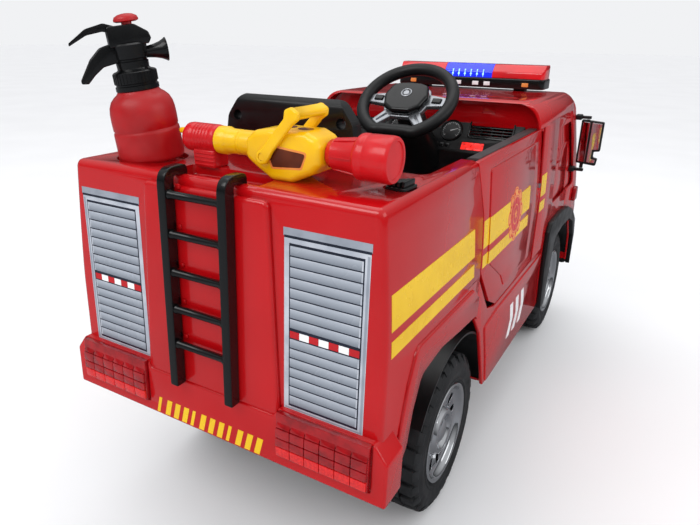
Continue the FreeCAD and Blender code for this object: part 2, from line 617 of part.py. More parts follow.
def dashboard():
    face = [("110", "551"), ("72", "488"), ("80", "400"), ("96", "336"), ("182", "336"), ("182", "551")]
    mass = prism("dash_mass", "XZ", face, "-194", "194")
    hollow = prism("dash_hollow", "XZ", [("116", "545"), ("80", "486"), ("88", "402"), ("102", "342"),
                                         ("188", "342"), ("188", "545")], "-188", "188")
    column_way = on_helm(cylinder("dash_column_way", "16", "400"), 0, 0, -420)
    button_way = along_x("dash_button_way", "7.5", "60", "60", "70", "505")
    rocker_way = block("dash_rocker_way", ("60", "110"), ("-112", "-88"), ("446", "462"))
    panel = cut("dash_panel", mass, hollow, column_way, button_way, rocker_way)
    ears = [block(f"rocker_ear_{index}", ("80", "90"), (across, f"{across} + 4"), ("448", "460"))
            for index, across in enumerate(("-117", "-87"))]
    pin_bore = along_y("rocker_pin_bore", "1.8", "40", "86", "-120", "454")
    return keep(cut("dashboard", fuse("dash_with_ears", panel, *ears), pin_bore))


def power_button():
    return keep(along_x("power_button", "7.2", "20", "70", "70", "505"))


def direction_rocker():
    rocker = block("rocker_block", ("70", "92"), ("-110", "-90"), ("448.5", "459.5"))
    pin = along_y("rocker_pin", "1.5", "32", "86", "-116", "454")
    return keep(fuse("direction_rocker", rocker, pin))


def seat_pan():
    side = [("seat_rear", "seat_floor"), ("seat_front", "seat_floor"), ("seat_front", "seat_top - 12"),
            ("seat_front - 20", "seat_top"), ("seat_front - 150", "seat_top - 14"), ("seat_rear", "seat_top - 8")]
    base = prism("seat_base", "XZ", side, "-seat_half", "seat_half")
    hollow = block("seat_hollow", ("seat_rear + 5", "seat_front - 5"), ("-seat_half + 5", "seat_half - 5"),
                   ("seat_floor - 5", "seat_top - 24"))
    return keep(cut("seat_pan", base, hollow))


def seat_back():
    side = [("seat_rear + 2", "seat_top - 6"), ("seat_rear - 26", "seat_top - 6"), ("-411", "back_top - 70"),
            ("-411", "back_top - 6"), ("-402", "back_top"), ("-390", "back_top - 3"),
            ("seat_rear", "back_top - 90")]
    slab = prism("seat_slab", "XZ", side, "-back_half - 20", "back_half + 20")
    front = prism("seat_shape", "YZ", [("-back_half - 18", "seat_top - 10"), ("back_half + 18", "seat_top - 10"),
                                       ("back_half + 12", "520"), ("back_half", "back_top - 24"),
                                       ("back_half - 22", "back_top + 2"), ("-back_half + 22", "back_top + 2"),
                                       ("-back_half", "back_top - 24"), ("-back_half - 12", "520")],
                  "-440", "-350")
    holes = [along_x(f"seat_hole_{index}", "7", "80", "-440", across, "594")
             for index, across in enumerate(("-82", "82"))]
    return keep(cut("seat_back", common("seat_form", slab, front), *holes))


def battery():
    return keep(block("battery", ("-492", "-424"), ("-70", "70"), ("pan_low + wall", "238")))


def accelerator_pedal():
    plate = [("234", "156"), ("242", "152"), ("292", "206"), ("286", "212")]
    tread = prism("pedal_tread", "XZ", plate, "-78", "-36")
    boss = along_y("pedal_boss", "7", "42", "238", "-78", "pan_low + 22")
    pin = along_y("pedal_pin", "3", "56", "238", "-85", "pan_low + 22")
    return keep(fuse("accelerator_pedal", tread, boss, pin))


# Fittings on the body -----------------------------------------------------------------------------

def light_bar():
    x_low, x_high = "bar_x - bar_depth", "bar_x + bar_depth"
    base = block("bar_tray", (x_low, x_high), ("-bar_half", "bar_half"), ("bar_low", "bar_split"))
    feet = [block(f"bar_foot_{index}", ("bar_x - 16", "bar_x + 16"), (across, f"{across} + 24"),
                  ("brow_z + 1", "bar_low + 1")) for index, across in enumerate(("-125", "101"))]
    keep(cut("light_bar_base", fuse("bar_solid", base, *feet), NODES["front_cab_shell"]))
    section = [(f"{x_low} + 2", "bar_split"), (f"{x_high} - 2", "bar_split"), (f"{x_high} - 4", "bar_split + 12"),
               ("bar_x + 14", "bar_top"), ("bar_x - 14", "bar_top"), (f"{x_low} + 4", "bar_split + 12")]
    keep(prism("light_bar_blue", "XZ", section, "-blue_half", "blue_half"))
    red = prism("bar_red_right", "XZ", section, "-bar_half + 2", "-blue_half")
    keep(group("light_bar_red", red, mirrored("bar_red_left", red)))


def mirror_head(label):
    """Notched mirror head that turns on an upright rod between the arms of its bracket."""
    inner, outer = "-mirror_inner", "-mirror_outer"
    face = [(outer, "454"), (outer, "520"), (inner, "524"), (inner, "424"), ("-mirror_outer + 5", "420"),
            ("-mirror_outer + 3", "437"), ("-mirror_outer + 13", "439"), ("-mirror_outer + 13", "452")]
    head = prism(f"{label}_head", "YZ", face, "mirror_x - 6", "mirror_x + 6")
    spine = cylinder(f"{label}_spine", "4", "112", "mirror_x", "-mirror_pin", "412")
    return fuse(label, head, spine)


def mirror_brackets():
    arms = []
    for index, low in enumerate(("404", "524.5")):
        bar = block(f"mirror_arm_{index}", ("mirror_x - 6", "mirror_x + 6"), ("-mirror_pin - 6", "-waist_half + 5"),
                    (low, f"{low} + 7"))
        arms.append(bar)
    plate = block("mirror_plate", ("mirror_x - 14", "mirror_x + 14"), ("-waist_half - 4", "-waist_half + 5"),
                  ("404", "531.5"))
    solid = fuse("mirror_bracket_solid", plate, *arms)
    bore = cylinder("mirror_bore", "4.06", "140", "mirror_x", "-mirror_pin", "400")
    right = cut("mirror_bracket_right", solid, bore, NODES["front_cab_shell"])
    return keep(group("mirror_brackets", right, mirrored("mirror_bracket_left", right)))


def ladder():
    rear, front = "ladder_rear", "rear_face - panel_proud"
    side = [(rear, "ladder_low"), (f"{front} - 0.2", "ladder_low"), (f"{front} - 0.2", "deck_height - 6"),
            ("rear_face - 1", "deck_height + 0.5"), ("trough_rear - 1", "deck_height + 0.5"),
            ("trough_rear + 5", "deck_height + 1"), ("trough_rear + 5", "ladder_hook - 5"),
            ("trough_rear", "ladder_hook"), (f"{rear} + 22", "ladder_hook"), (f"{rear} + 13", "ladder_hook - 3"),
            (f"{rear} + 4", "ladder_hook - 12"), (rear, "ladder_hook - 24")]
    rails = []
    for index, middle in enumerate(("-rail_y", "rail_y")):
        rails.append(prism(f"ladder_rail_{index}", "XZ", side, f"{middle} - rail_width / 2",
                           f"{middle} + rail_width / 2"))
    rungs = [along_y(f"ladder_rung_{step}", "rung_radius", "2 * rail_y", "ladder_rear + 8", "-rail_y",
                     f"rung_low + rung_pitch * {step}") for step in range(5)]
    return keep(fuse("ladder", *rails, *rungs))


def on_bottle(obj, turn=0):
    """Carry a piece drawn upright about the origin to the leaning extinguisher."""
    lean = FreeCAD.Rotation(FreeCAD.Vector(-0.69, -0.72, 0), DIMENSIONS["bottle_lean"])
    spin = FreeCAD.Rotation(FreeCAD.Vector(0, 0, 1), turn)
    obj.Placement = FreeCAD.Placement(FreeCAD.Vector(), lean.multiply(spin))
    obj.setExpression("Placement.Base.x", formula("socket_x"))
    obj.setExpression("Placement.Base.y", formula("socket_y"))
    obj.setExpression("Placement.Base.z", formula("bottle_z"))
    return obj


def extinguisher():
    turn = DIMENSIONS["nozzle_turn"]
    flask = turned("extinguisher_bottle", "XZ", [
        ("0", "0"), ("bottle_radius - 2", "0"), ("bottle_radius", "3"), ("bottle_radius", "43"),
        ("bottle_radius - 1", "44"), ("bottle_radius - 1", "70"), ("bottle_radius - 4", "80"),
        ("bottle_radius - 9", "87"), ("bottle_radius - 16", "91"), ("0", "92")])
    keep(on_bottle(flask))
    stem = turned("extinguisher_stem", "XZ", [("0", "92"), ("27.5", "92"), ("27.5", "116"), ("20", "118"),
                                              ("22", "148"), ("0", "148")])
    block_head = prism("extinguisher_block", "XZ", [("-24", "146"), ("24", "146"), ("28", "152"), ("26", "160"),
                                                    ("10", "171"), ("-24", "171")], "-13", "13")
    bell = named("Part::Cone", "extinguisher_bell")
    bell.Radius1 = 7
    bell.Radius2 = 14.5
    bell.Height = 30
    place(bell, 16, 0, 136, (0, 1, 0), 90)
    grip = prism("extinguisher_grip", "XZ", [("-18", "152"), ("-36", "148"), ("-50", "136"), ("-66", "112"),
                                             ("-58", "108"), ("-48", "116"), ("-36", "124"), ("-16", "128")],
                 "-9", "9")
    slot = block("extinguisher_slot", ("-30", "-8"), ("-5.5", "5.5"), ("159", "180"))
    pin_bore = along_y("extinguisher_pin_bore", "1.8", "30", "-12", "-15", "164")
    head = cut("extinguisher_head", fuse("extinguisher_cast", stem, block_head, bell, grip), slot, pin_bore)
    keep(on_bottle(head, turn))
    blade = prism("extinguisher_blade", "XZ", [("-10", "161"), ("-10", "170"), ("-26", "176"), ("-48", "172"),
                                               ("-70", "158"), ("-71", "154"), ("-48", "164"), ("-28", "166")],
                  "-5", "5")
    pin = along_y("extinguisher_pin", "1.5", "24", "-12", "-12", "164")
    lever = fuse("extinguisher_lever", blade, pin)
    keep(on_bottle(lever, turn))
    knob = turned("extinguisher_knob", "XZ", [("0", "171"), ("7", "171"), ("7", "173.5"), ("15.5", "175"),
                                              ("14.5", "180"), ("8", "183"), ("0", "184")])
    knob_shift = FreeCAD.Vector(3, 0, 0)
    on_bottle(knob, turn)
    moved = knob.Placement.Rotation.multVec(knob_shift)
    knob.setExpression("Placement.Base.x", formula(f"socket_x + {moved.x}"))
    knob.setExpression("Placement.Base.y", formula(f"socket_y + {moved.y}"))
    knob.setExpression("Placement.Base.z", formula(f"bottle_z + {moved.z}"))
    keep(knob)


def gun_round(label, profile):
    """A round piece of the water gun, drawn as (radius, along Y)."""
    return place(turned(label, "XY", profile), "gun_x", "0", "gun_z")


def water_gun():
    floor = "deck_height + 0.4"
    tank_side = [("-28", "588"), ("-40", "598"), ("-60", "602"), ("-108", "602"), ("-122", "595"), ("-127", "586"),
                 ("-127", "566"), ("-118", "556"), ("-91", floor), ("-64", floor), ("-40", "558"), ("-28", "566")]
    tank = prism("gun_tank", "YZ", tank_side, "gun_x - gun_half", "gun_x + gun_half")
    barrel = gun_round("gun_barrel", [("0", "-30"), ("15", "-30"), ("15", "13"), ("17", "14"), ("17", "27"),
                                      ("12", "27"), ("12", "66"), ("0", "66")])
    pins = along_x("gun_handle_pin", "4", "2 * gun_half + 14", "gun_x - gun_half - 7", "gun_handle_y",
                   "gun_handle_z")
    spigot = gun_round("gun_spigot", [("0", "-158"), ("8", "-158"), ("8", "-126"), ("0", "-126")])
    tip = along_y("gun_tip", "tip_radius", "28", "gun_x", "65", "gun_z + tip_rise")
    keep(fuse("gun_body", tank, barrel, pins, spigot, tip))

    sleeve = gun_round("gun_sleeve", [("12", "27"), ("17", "27"), ("18", "30"), ("18", "74"), ("16", "77"),
                                      ("0", "77"), ("0", "66"), ("12", "66")])
    grip = prism("gun_grip_leg", "YZ", [("28", "563"), ("62", "563"), ("60", floor), ("26", floor)],
                 "gun_x - 14", "gun_x + 14")
    hollow = gun_round("gun_sleeve_way", [("0", "20"), ("12", "20"), ("12", "66"), ("0", "66")])
    tip_way = along_y("gun_tip_way", "tip_radius", "28", "gun_x", "65", "gun_z + tip_rise")
    keep(cut("gun_grip", fuse("gun_grip_solid", sleeve, grip), hollow, tip_way))

    bore = "8 + running_gap"
    keep(gun_round("gun_nozzle", [(bore, "-127.4"), (bore, "-160"), ("0", "-160"), ("0", "-205"), ("24", "-205"),
                                  ("25.5", "-203"), ("25.5", "-167"), ("20", "-163"), ("17", "-133"),
                                  ("15", "-131"), ("15", "-127.4")]))

    arm_side = [("-48.5", "568"), ("-50.5", "563.5"), ("-56", "561.3"), ("-62.5", "563.5"), ("-66.5", "569"),
                ("-71", "577"), ("-97", "608.5"), ("-104.5", "614"), ("-105.5", "622"), ("-96", "628"),
                ("-87", "624.5"), ("-86", "615"), ("-57", "581"), ("-50", "576")]
    arms = [prism(f"gun_handle_arm_{index}", "YZ", arm_side, low, f"{low} + 7")
            for index, low in enumerate(("gun_x - gun_half - 8", "gun_x + gun_half + 1"))]
    bar = prism("gun_handle_bar", "YZ", [("-88", "611"), ("-104", "614"), ("-106", "622"), ("-96", "629"),
                                         ("-86", "626")], "gun_x - gun_half - 8", "gun_x + gun_half + 8")
    way = along_x("gun_handle_way", "4 + running_gap", "100", "gun_x - 50", "gun_handle_y", "gun_handle_z")
    keep(cut("gun_handle", fuse("gun_handle_solid", *arms, bar), way))


def build():
    fill_sheet()
    rear_body_shell()
    rear_skirt()
    pair(sill, "sill_right", "sill_left")
    front_cab_shell()
    windscreen()
    headlamps()
    front_bumper()
    pair(front_flare, "front_flare_right", "front_flare_left")
    marker_lamps()
    tail_lamps()
    pair(door, "door_right", "door_left")
    pair(door_trim, "door_trim_right", "door_trim_left")
    door_hinge_pins()
    chassis_pan()
    rear_axle()
    rear_gearboxes()
    wheels()
    front_beam()
    pair(knuckle, "knuckle_right", "knuckle_left")
    tie_rod()
    steering_column()
    steering_rim()
    steering_spokes()
    steering_hub_pad()
    horn_buttons()
    dashboard()
    power_button()
    direction_rocker()
    seat_pan()
    seat_back()
    battery()
    accelerator_pedal()
    light_bar()
    pair(mirror_head, "mirror_right", "mirror_left")
    mirror_brackets()
    ladder()
    extinguisher()
    water_gun()
    doc.recompute()


def check():
    failed = [obj.Label for obj in doc.Objects if {"Invalid", "Error"} & set(obj.State)]
    for label, obj in NODES.items():
        if obj.Shape.isNull() or not obj.Shape.isValid() or not obj.Shape.Solids:
            failed.append(label)
    if failed:
        raise ValueError("pieces that did not build: " + ", ".join(failed))


def write_parts():
    os.makedirs("parts", exist_ok=True)
    for label, obj in NODES.items():
        obj.Shape.exportStep(os.path.join("parts", f"{label}.step"))


build()
check()
write_parts()
print(f"{len(NODES)} pieces")
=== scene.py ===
import math
import random

import bmesh
import bpy
from mathutils import Matrix, Vector


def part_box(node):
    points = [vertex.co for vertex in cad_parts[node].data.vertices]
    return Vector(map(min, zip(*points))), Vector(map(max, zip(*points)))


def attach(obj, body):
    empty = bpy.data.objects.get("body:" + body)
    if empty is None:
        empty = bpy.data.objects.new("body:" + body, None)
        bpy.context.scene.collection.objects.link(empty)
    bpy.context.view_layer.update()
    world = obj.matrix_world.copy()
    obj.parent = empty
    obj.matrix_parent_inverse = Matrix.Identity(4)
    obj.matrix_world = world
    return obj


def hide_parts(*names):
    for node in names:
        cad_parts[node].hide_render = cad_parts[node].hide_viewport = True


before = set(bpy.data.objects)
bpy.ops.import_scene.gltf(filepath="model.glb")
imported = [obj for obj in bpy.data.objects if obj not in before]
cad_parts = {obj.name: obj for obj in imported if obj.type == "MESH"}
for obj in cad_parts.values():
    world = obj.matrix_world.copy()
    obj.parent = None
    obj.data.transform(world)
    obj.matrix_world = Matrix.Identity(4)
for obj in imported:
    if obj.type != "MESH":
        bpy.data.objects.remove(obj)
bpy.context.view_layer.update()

random.seed(7)
mm = 0.001


# Studio: camera, pale floor and soft light.
# The camera stands behind the right rear corner at an adult's chest height; its lens is a short
# telephone lens, and the shift recentres the frame on the truck.
camera_data = bpy.data.cameras.new("camera")
camera_data.lens = 31.53
camera_data.shift_x = 0.0675
camera_data.shift_y = -0.0123
camera = bpy.data.objects.new("camera", camera_data)
bpy.context.scene.collection.objects.link(camera)
bpy.context.scene.camera = camera
yaw, pitch, roll = math.radians(31.98), math.radians(-19.70), math.radians(0.68)
ahead = Vector((math.cos(pitch) * math.cos(yaw), math.cos(pitch) * math.sin(yaw), math.sin(pitch)))
level_right = Vector((math.sin(yaw), -math.cos(yaw), 0))
level_up = level_right.cross(ahead)
cam_right = level_right * math.cos(roll) + level_up * math.sin(roll)
cam_up = level_up * math.cos(roll) - level_right * math.sin(roll)
camera.matrix_world = Matrix.Translation((-1.0996, -0.4575, 0.7001)) @ Matrix((cam_right, cam_up,
    -ahead)).transposed().to_4x4()
bpy.context.scene.view_settings.view_transform = "Standard"


def paint(hex_code):
    """An sRGB hex colour as the linear RGBA that Blender's sockets take."""
    channels = [int(hex_code[i:i + 2], 16) / 255 for i in (1, 3, 5)]
    linear = [c / 12.92 if c <= 0.04045 else ((c + 0.055) / 1.055) ** 2.4 for c in channels]
    return (*linear, 1.0)


def add_node(tree, kind, settings=None, inputs=None):
    """Add one node: settings are its own properties, inputs are values or (node, output) links."""
    made = tree.nodes.new(kind)
    for key, value in (settings or {}).items():
        setattr(made, key, value)
    for key, value in (inputs or {}).items():
        if isinstance(value, tuple) and isinstance(value[0], bpy.types.Node):
            tree.links.new(value[0].outputs[value[1]], made.inputs[key])
        else:
            made.inputs[key].default_value = value
    return made


def soft_box(name, where, towards, width, height, power):
    data = bpy.data.lights.new(name, "AREA")
    data.shape = "RECTANGLE"
    data.size = width
    data.size_y = height
    data.energy = power
    lamp = bpy.data.objects.new(name, data)
    bpy.context.scene.collection.objects.link(lamp)
    lamp.location = where
    lamp.rotation_euler = (Vector(towards) - Vector(where)).to_track_quat("-Z", "Y").to_euler()


soft_box("key_softbox", (-2.4, 0.6, 2.6), (0, 0, 0.3), 2.2, 1.4, 24)
soft_box("side_softbox", (0.3, -3.2, 1.9), (0, 0, 0.3), 2.8, 1.2, 12)
soft_box("top_softbox", (0.4, 0.3, 3.2), (0.1, 0, 0.4), 2.6, 2.2, 16)

studio = bpy.data.worlds.new("studio")
studio.use_nodes = True
bpy.context.scene.world = studio
air = studio.node_tree
air.nodes.clear()
look = add_node(air, "ShaderNodeTexCoord")
height_axis = add_node(air, "ShaderNodeSeparateXYZ", None, {0: (look, "Generated")})
sky = add_node(air, "ShaderNodeValToRGB", None, {0: (height_axis, 2)})
sky.color_ramp.elements[0].position = 0.0
sky.color_ramp.elements[0].color = paint("#3E3F42")
sky.color_ramp.elements[1].position = 0.75
sky.color_ramp.elements[1].color = paint("#F2F3F5")
reflected = add_node(air, "ShaderNodeBackground", None, {"Color": (sky, 0), "Strength": 0.62})
filling = add_node(air, "ShaderNodeBackground", None, {"Color": paint("#F4F5F7"), "Strength": 1.14})
backdrop = add_node(air, "ShaderNodeBackground", None, {"Color": paint("#F1F2F4"), "Strength": 1.0})
ray = add_node(air, "ShaderNodeLightPath")
unseen = add_node(air, "ShaderNodeMixShader", None, {0: (ray, "Is Glossy Ray"), 1: (filling, 0),
    2: (reflected, 0)})
mixed = add_node(air, "ShaderNodeMixShader", None, {0: (ray, "Is Camera Ray"), 1: (unseen, 0),
    2: (backdrop, 0)})
add_node(air, "ShaderNodeOutputWorld", None, {"Surface": (mixed, 0)})


def surface(name, colour, roughness, metallic=0.0, **sockets):
    """A material with one Principled shader; returns the material, its tree and the shader."""
    made = bpy.data.materials.new(name)
    made.use_nodes = True
    tree = made.node_tree
    tree.nodes.clear()
    shader = add_node(tree, "ShaderNodeBsdfPrincipled", None,
        {"Base Color": paint(colour), "Roughness": roughness, "Metallic": metallic})
    for key, value in sockets.items():
        shader.inputs[key.replace("_", " ")].default_value = value
    add_node(tree, "ShaderNodeOutputMaterial", None, {"Surface": (shader, 0)})
    return made, tree, shader


def speckle(tree, size, detail=2.0, stretch=(1, 1, 1)):
    """Noise whose grains are about size metres across on the piece itself."""
    where = add_node(tree, "ShaderNodeTexCoord")
    scaled = add_node(tree, "ShaderNodeMapping", None, {"Vector": (where, "Object"), "Scale": stretch})
    return add_node(tree, "ShaderNodeTexNoise", None, {"Vector": (scaled, 0), "Scale": 1 / size,
        "Detail": detail})


def vary(tree, shader, socket, low, high, size, detail=2.0, stretch=(1, 1, 1)):
    """Let a socket wander between two values or colours over patches of the given size."""
    cloud = speckle(tree, size, detail, stretch)
    if isinstance(low, str):
        ramp = add_node(tree, "ShaderNodeValToRGB", None, {0: (cloud, 0)})
        ramp.color_ramp.elements[0].position = 0.35
        ramp.color_ramp.elements[0].color = paint(low)
        ramp.color_ramp.elements[1].position = 0.65
        ramp.color_ramp.elements[1].color = paint(high)
        tree.links.new(ramp.outputs[0], shader.inputs[socket])
    else:
        span = add_node(tree, "ShaderNodeMapRange", None, {0: (cloud, 0), 1: 0.3, 2: 0.7, 3: low, 4: high})
        tree.links.new(span.outputs[0], shader.inputs[socket])


def grain(tree, shader, size, height, detail=2.0, stretch=(1, 1, 1)):
    """Surface relief with grains of the given size and height in metres."""
    cloud = speckle(tree, size, detail, stretch)
    relief = add_node(tree, "ShaderNodeBump", None, {"Height": (cloud, 0), "Distance": height,
        "Strength": 1.0})
    tree.links.new(relief.outputs[0], shader.inputs["Normal"])


# Floor: white photographic paper, matt, with the faintest tooth. Mirror-like reflections see it dimmer,
# as they would with a dark flag on the floor in front of the gloss paint.
paper, paper_tree, paper_shader = surface("matt_backdrop_paper", "#F1F1F2", 0.85)
vary(paper_tree, paper_shader, "Base Color", "#EFEFF0", "#F2F2F3", 0.5)
dim_paper = add_node(paper_tree, "ShaderNodeBsdfDiffuse", None, {"Color": paint("#86878A")})
paper_ray = add_node(paper_tree, "ShaderNodeLightPath")
paper_mix = add_node(paper_tree, "ShaderNodeMixShader", None,
    {0: (paper_ray, "Is Glossy Ray"), 1: (paper_shader, 0), 2: (dim_paper, 0)})
paper_out = [item for item in paper_tree.nodes if item.type == "OUTPUT_MATERIAL"][0]
paper_tree.links.new(paper_mix.outputs[0], paper_out.inputs["Surface"])
bpy.ops.mesh.primitive_plane_add(size=60, location=(1.2, 0.6, 0))
floor = bpy.context.object
floor.name = "floor"
floor.data.materials.append(paper)


# Rear body shell: one large glossy red ABS injection moulding. It carries the deck, the tail panel
# with its raised middle, both rear quarters and the lipped wheel arches.
# Polished-tool ABS gives a deep, slightly wavy gloss with a soft orange-peel.
shell_low, shell_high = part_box("rear_body_shell")
deck = shell_high.z
waist_half = shell_high.y
panel_proud = 8 * mm
rear_face = shell_low.x + panel_proud
quarter_front = shell_high.x
waist = deck - 163 * mm
deck_lean = 12 * mm
wall = 4 * mm

gloss_red, red_tree, red_shader = surface("polished_red_abs", "#B90A10", 0.13, IOR=1.53)
red_shader.inputs["Coat Weight"].default_value = 0.5
red_shader.inputs["Coat Roughness"].default_value = 0.03
vary(red_tree, red_shader, "Base Color", "#B2080E", "#BE0B12", 180 * mm)
vary(red_tree, red_shader, "Roughness", 0.10, 0.19, 45 * mm)
grain(red_tree, red_shader, 9 * mm, 0.05 * mm)


def body_half(z):
    """Half-width of the body at height z: upright below the waist, leaning in above it."""
    rise = min(max((z - waist + 10 * mm) / (deck - waist + 10 * mm), 0), 1)
    return waist_half - deck_lean * rise ** 1.3


def oblong(a_first, a_last, b_first, b_last):
    """The four corners of an upright rectangle, in order round it."""
    return [(a_first, b_first), (a_last, b_first), (a_last, b_last), (a_first, b_last)]


def new_piece(name, points, faces):
    data = bpy.data.meshes.new(name)
    data.from_pydata([Vector(p) for p in points], [], faces)
    data.update()
    made = bpy.data.objects.new(name, data)
    bpy.context.scene.collection.objects.link(made)
    return made


def reshape(piece, operation):
    """Run one bmesh operation on a piece and keep its normals outward."""
    work = bmesh.new()
    work.from_mesh(piece.data)
    operation(work)
    bmesh.ops.recalc_face_normals(work, faces=work.faces)
    work.to_mesh(piece.data)
    work.free()
    return piece


def soften(piece, width, steps=3, angle=35):
    """Round every edge that turns by more than the given angle."""
    def bevel(work):
        bmesh.ops.remove_doubles(work, verts=work.verts, dist=0.01 * mm)
        limit = math.radians(angle)
        sharp = [e for e in work.edges if len(e.link_faces) == 2 and e.calc_face_angle(0) > limit]
        bmesh.ops.bevel(work, geom=sharp, offset=width, segments=steps, profile=0.5, affect="EDGES",
            clamp_overlap=True)
    return reshape(piece, bevel)


def extruded(name, outline, axis, low, high, edge=0.0, steps=3):
    """A slab with the given outline, along world axis X (y, z), Y (x, z) or Z (x, y)."""
    place = {"X": lambda a, b, d: (d, a, b), "Y": lambda a, b, d: (a, d, b), "Z": lambda a, b,
        d: (a, b, d)}[axis]
    count = len(outline)
    points = [place(a, b, low) for a, b in outline] + [place(a, b, high) for a, b in outline]
    faces = [tuple(range(count)), tuple(range(2 * count - 1, count - 1, -1))]
    faces += [(i, i + count, (i + 1) % count + count, (i + 1) % count) for i in range(count)]
    made = reshape(new_piece(name, points, faces), lambda work: None)
    return soften(made, edge, steps) if edge else made


def filleted(corners, radius, steps=5):
    """Round the corners of an outline; a corner given as (a, b, r) has its own radius."""
    rounded = []
    count = len(corners)
    for i, corner in enumerate(corners):
        here = Vector(corner[:2])
        before = Vector(corners[i - 1][:2]) - here
        after = Vector(corners[(i + 1) % count][:2]) - here
        own = corner[2] if len(corner) == 3 else radius
        half = before.angle(after) / 2
        reach = min(own / math.tan(half), before.length * 0.48, after.length * 0.48)
        if own == 0 or half > math.radians(88):
            rounded.append(tuple(here))
            continue
        start, end = here + before.normalized() * reach, here + after.normalized() * reach
        for step in range(steps + 1):
            t = step / steps
            point = start * (1 - t) ** 2 + here * 2 * t * (1 - t) + end * t ** 2
            rounded.append(tuple(point))
    return rounded


def combine(piece, operation, others):
    """Apply boolean operations with other pieces, which are used up."""
    for other in others:
        modifier = piece.modifiers.new("boolean", "BOOLEAN")
        modifier.operation = operation
        modifier.solver = "EXACT"
        modifier.object = other
        bpy.context.view_layer.update()
        shaped = bpy.data.meshes.new_from_object(piece.evaluated_get(bpy.context.evaluated_depsgraph_get()))
        piece.modifiers.clear()
        piece.data = shaped
        bpy.data.objects.remove(other)
    return piece


def carve(piece, *cutters):
    return combine(piece, "DIFFERENCE", cutters)


def weld(piece, *additions):
    return combine(piece, "UNION", additions)


def shared(piece, other):
    return combine(piece, "INTERSECT", [other])


def mirror_copy(piece, name):
    """The same piece on the other side of the truck."""
    made = piece.copy()
    made.data = piece.data.copy()
    made.name = name
    bpy.context.scene.collection.objects.link(made)

    def flip(work):
        bmesh.ops.scale(work, vec=(1, -1, 1), verts=work.verts)
    return reshape(made, flip)


def fit(piece, body, material, nodes=(), smooth=40, edge=0.0):
    """Shade, colour and hang a finished piece on its body, standing for its CAD nodes."""
    if edge:
        soften(piece, edge, 2, 50)
    piece.data.materials.clear()
    piece.data.materials.append(material)
    piece.data.shade_smooth()
    piece.data.set_sharp_from_angle(angle=math.radians(smooth))
    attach(piece, body)
    if nodes:
        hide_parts(*nodes)
    return piece


def body_section(inset, low, top, corner=9 * mm):
    """Cross-section of the body as (y, z), up the right side, over the deck and down the left."""
    side = []
    for step in range(15):
        z = low + (top - corner - low) * step / 14
        side.append((-(body_half(z) - inset), z))
    centre = -(body_half(top) - inset - corner)
    for step in range(1, 7):
        angle = math.radians(180 - 15 * step)
        side.append((centre + corner * math.cos(angle), top - corner + corner * math.sin(angle)))
    for share in (0.66, 0.33):
        side.append((centre * share, top + 1.2 * mm * (1 - share ** 2)))
    return side + [(0, top + 1.2 * mm)] + [(-y, z) for y, z in reversed(side)]


rear_arch = [(-0.546, 0.150, 0), (-0.541, 0.206, 0), (-0.510, 0.236), (-0.499, 0.278), (-0.477, 0.318),
    (-0.410, 0.325), (-0.338, 0.317), (-0.264, 0.311), (-0.218, 0.262), (-0.185, 0.194), (-0.159, 0.132, 0)]
arch_line = filleted(rear_arch, 22 * mm)


def both_sides(name, outline, inner, outer, edge=0.0):
    """Two like slabs across the truck, from |y| inner to outer."""
    right = extruded(f"{name}_right", outline, "Y", -outer, -inner, edge)
    return [right, mirror_copy(right, f"{name}_left")]


rear_body = extruded("rear_body", body_section(0, shell_low.z, deck), "X", rear_face, quarter_front)


def round_tail(work):
    """Round the edges round the tail panel."""
    tail = [e for e in work.edges if all(v.co.x < rear_face + mm for v in e.verts)
            and e.calc_face_angle(0) > 0.8 and max(v.co.z for v in e.verts) > shell_low.z + mm]
    bmesh.ops.bevel(work, geom=tail, offset=9 * mm, segments=4, profile=0.5, affect="EDGES")


reshape(rear_body, round_tail)
raised = [(-106 * mm, 0.270), (106 * mm, 0.270), (92 * mm, 0.533), (-92 * mm, 0.533)]
raised_panel = extruded("raised_panel", filleted(raised, 10 * mm), "X", rear_face - panel_proud,
    rear_face + 2 * mm, 6 * mm, 4)
lip_outline = filleted([(-0.550, 0.208, 0), (-0.516, 0.321), (-0.496, 0.362), (-0.285, 0.360),
    (-0.2551, 0.338, 0), (-0.2551, 0.206, 0)], 18 * mm)
weld(rear_body, raised_panel)
for lip in both_sides("arch_lip", lip_outline, 0.228, waist_half + 3.5 * mm, 2.5 * mm):
    weld(rear_body, lip)
hollow = extruded("hollow", body_section(wall, shell_low.z - 20 * mm, deck - wall), "X", rear_face + wall,
    quarter_front + 10 * mm)
carve(rear_body, hollow)
trough_box = filleted(oblong(-0.570, -0.521, -0.068, 0.068), 6 * mm)
trough_boss = extruded("trough_boss", filleted(oblong(-0.577, -0.516, -0.073, 0.073), 6 * mm), "Z",
    deck - 20 * mm, deck - mm)
socket_x, socket_y = -0.513, 0.147


def disc(radius, x, y, count=64):
    return [(x + radius * math.cos(2 * math.pi * i / count),
        y + radius * math.sin(2 * math.pi * i / count)) for i in range(count)]


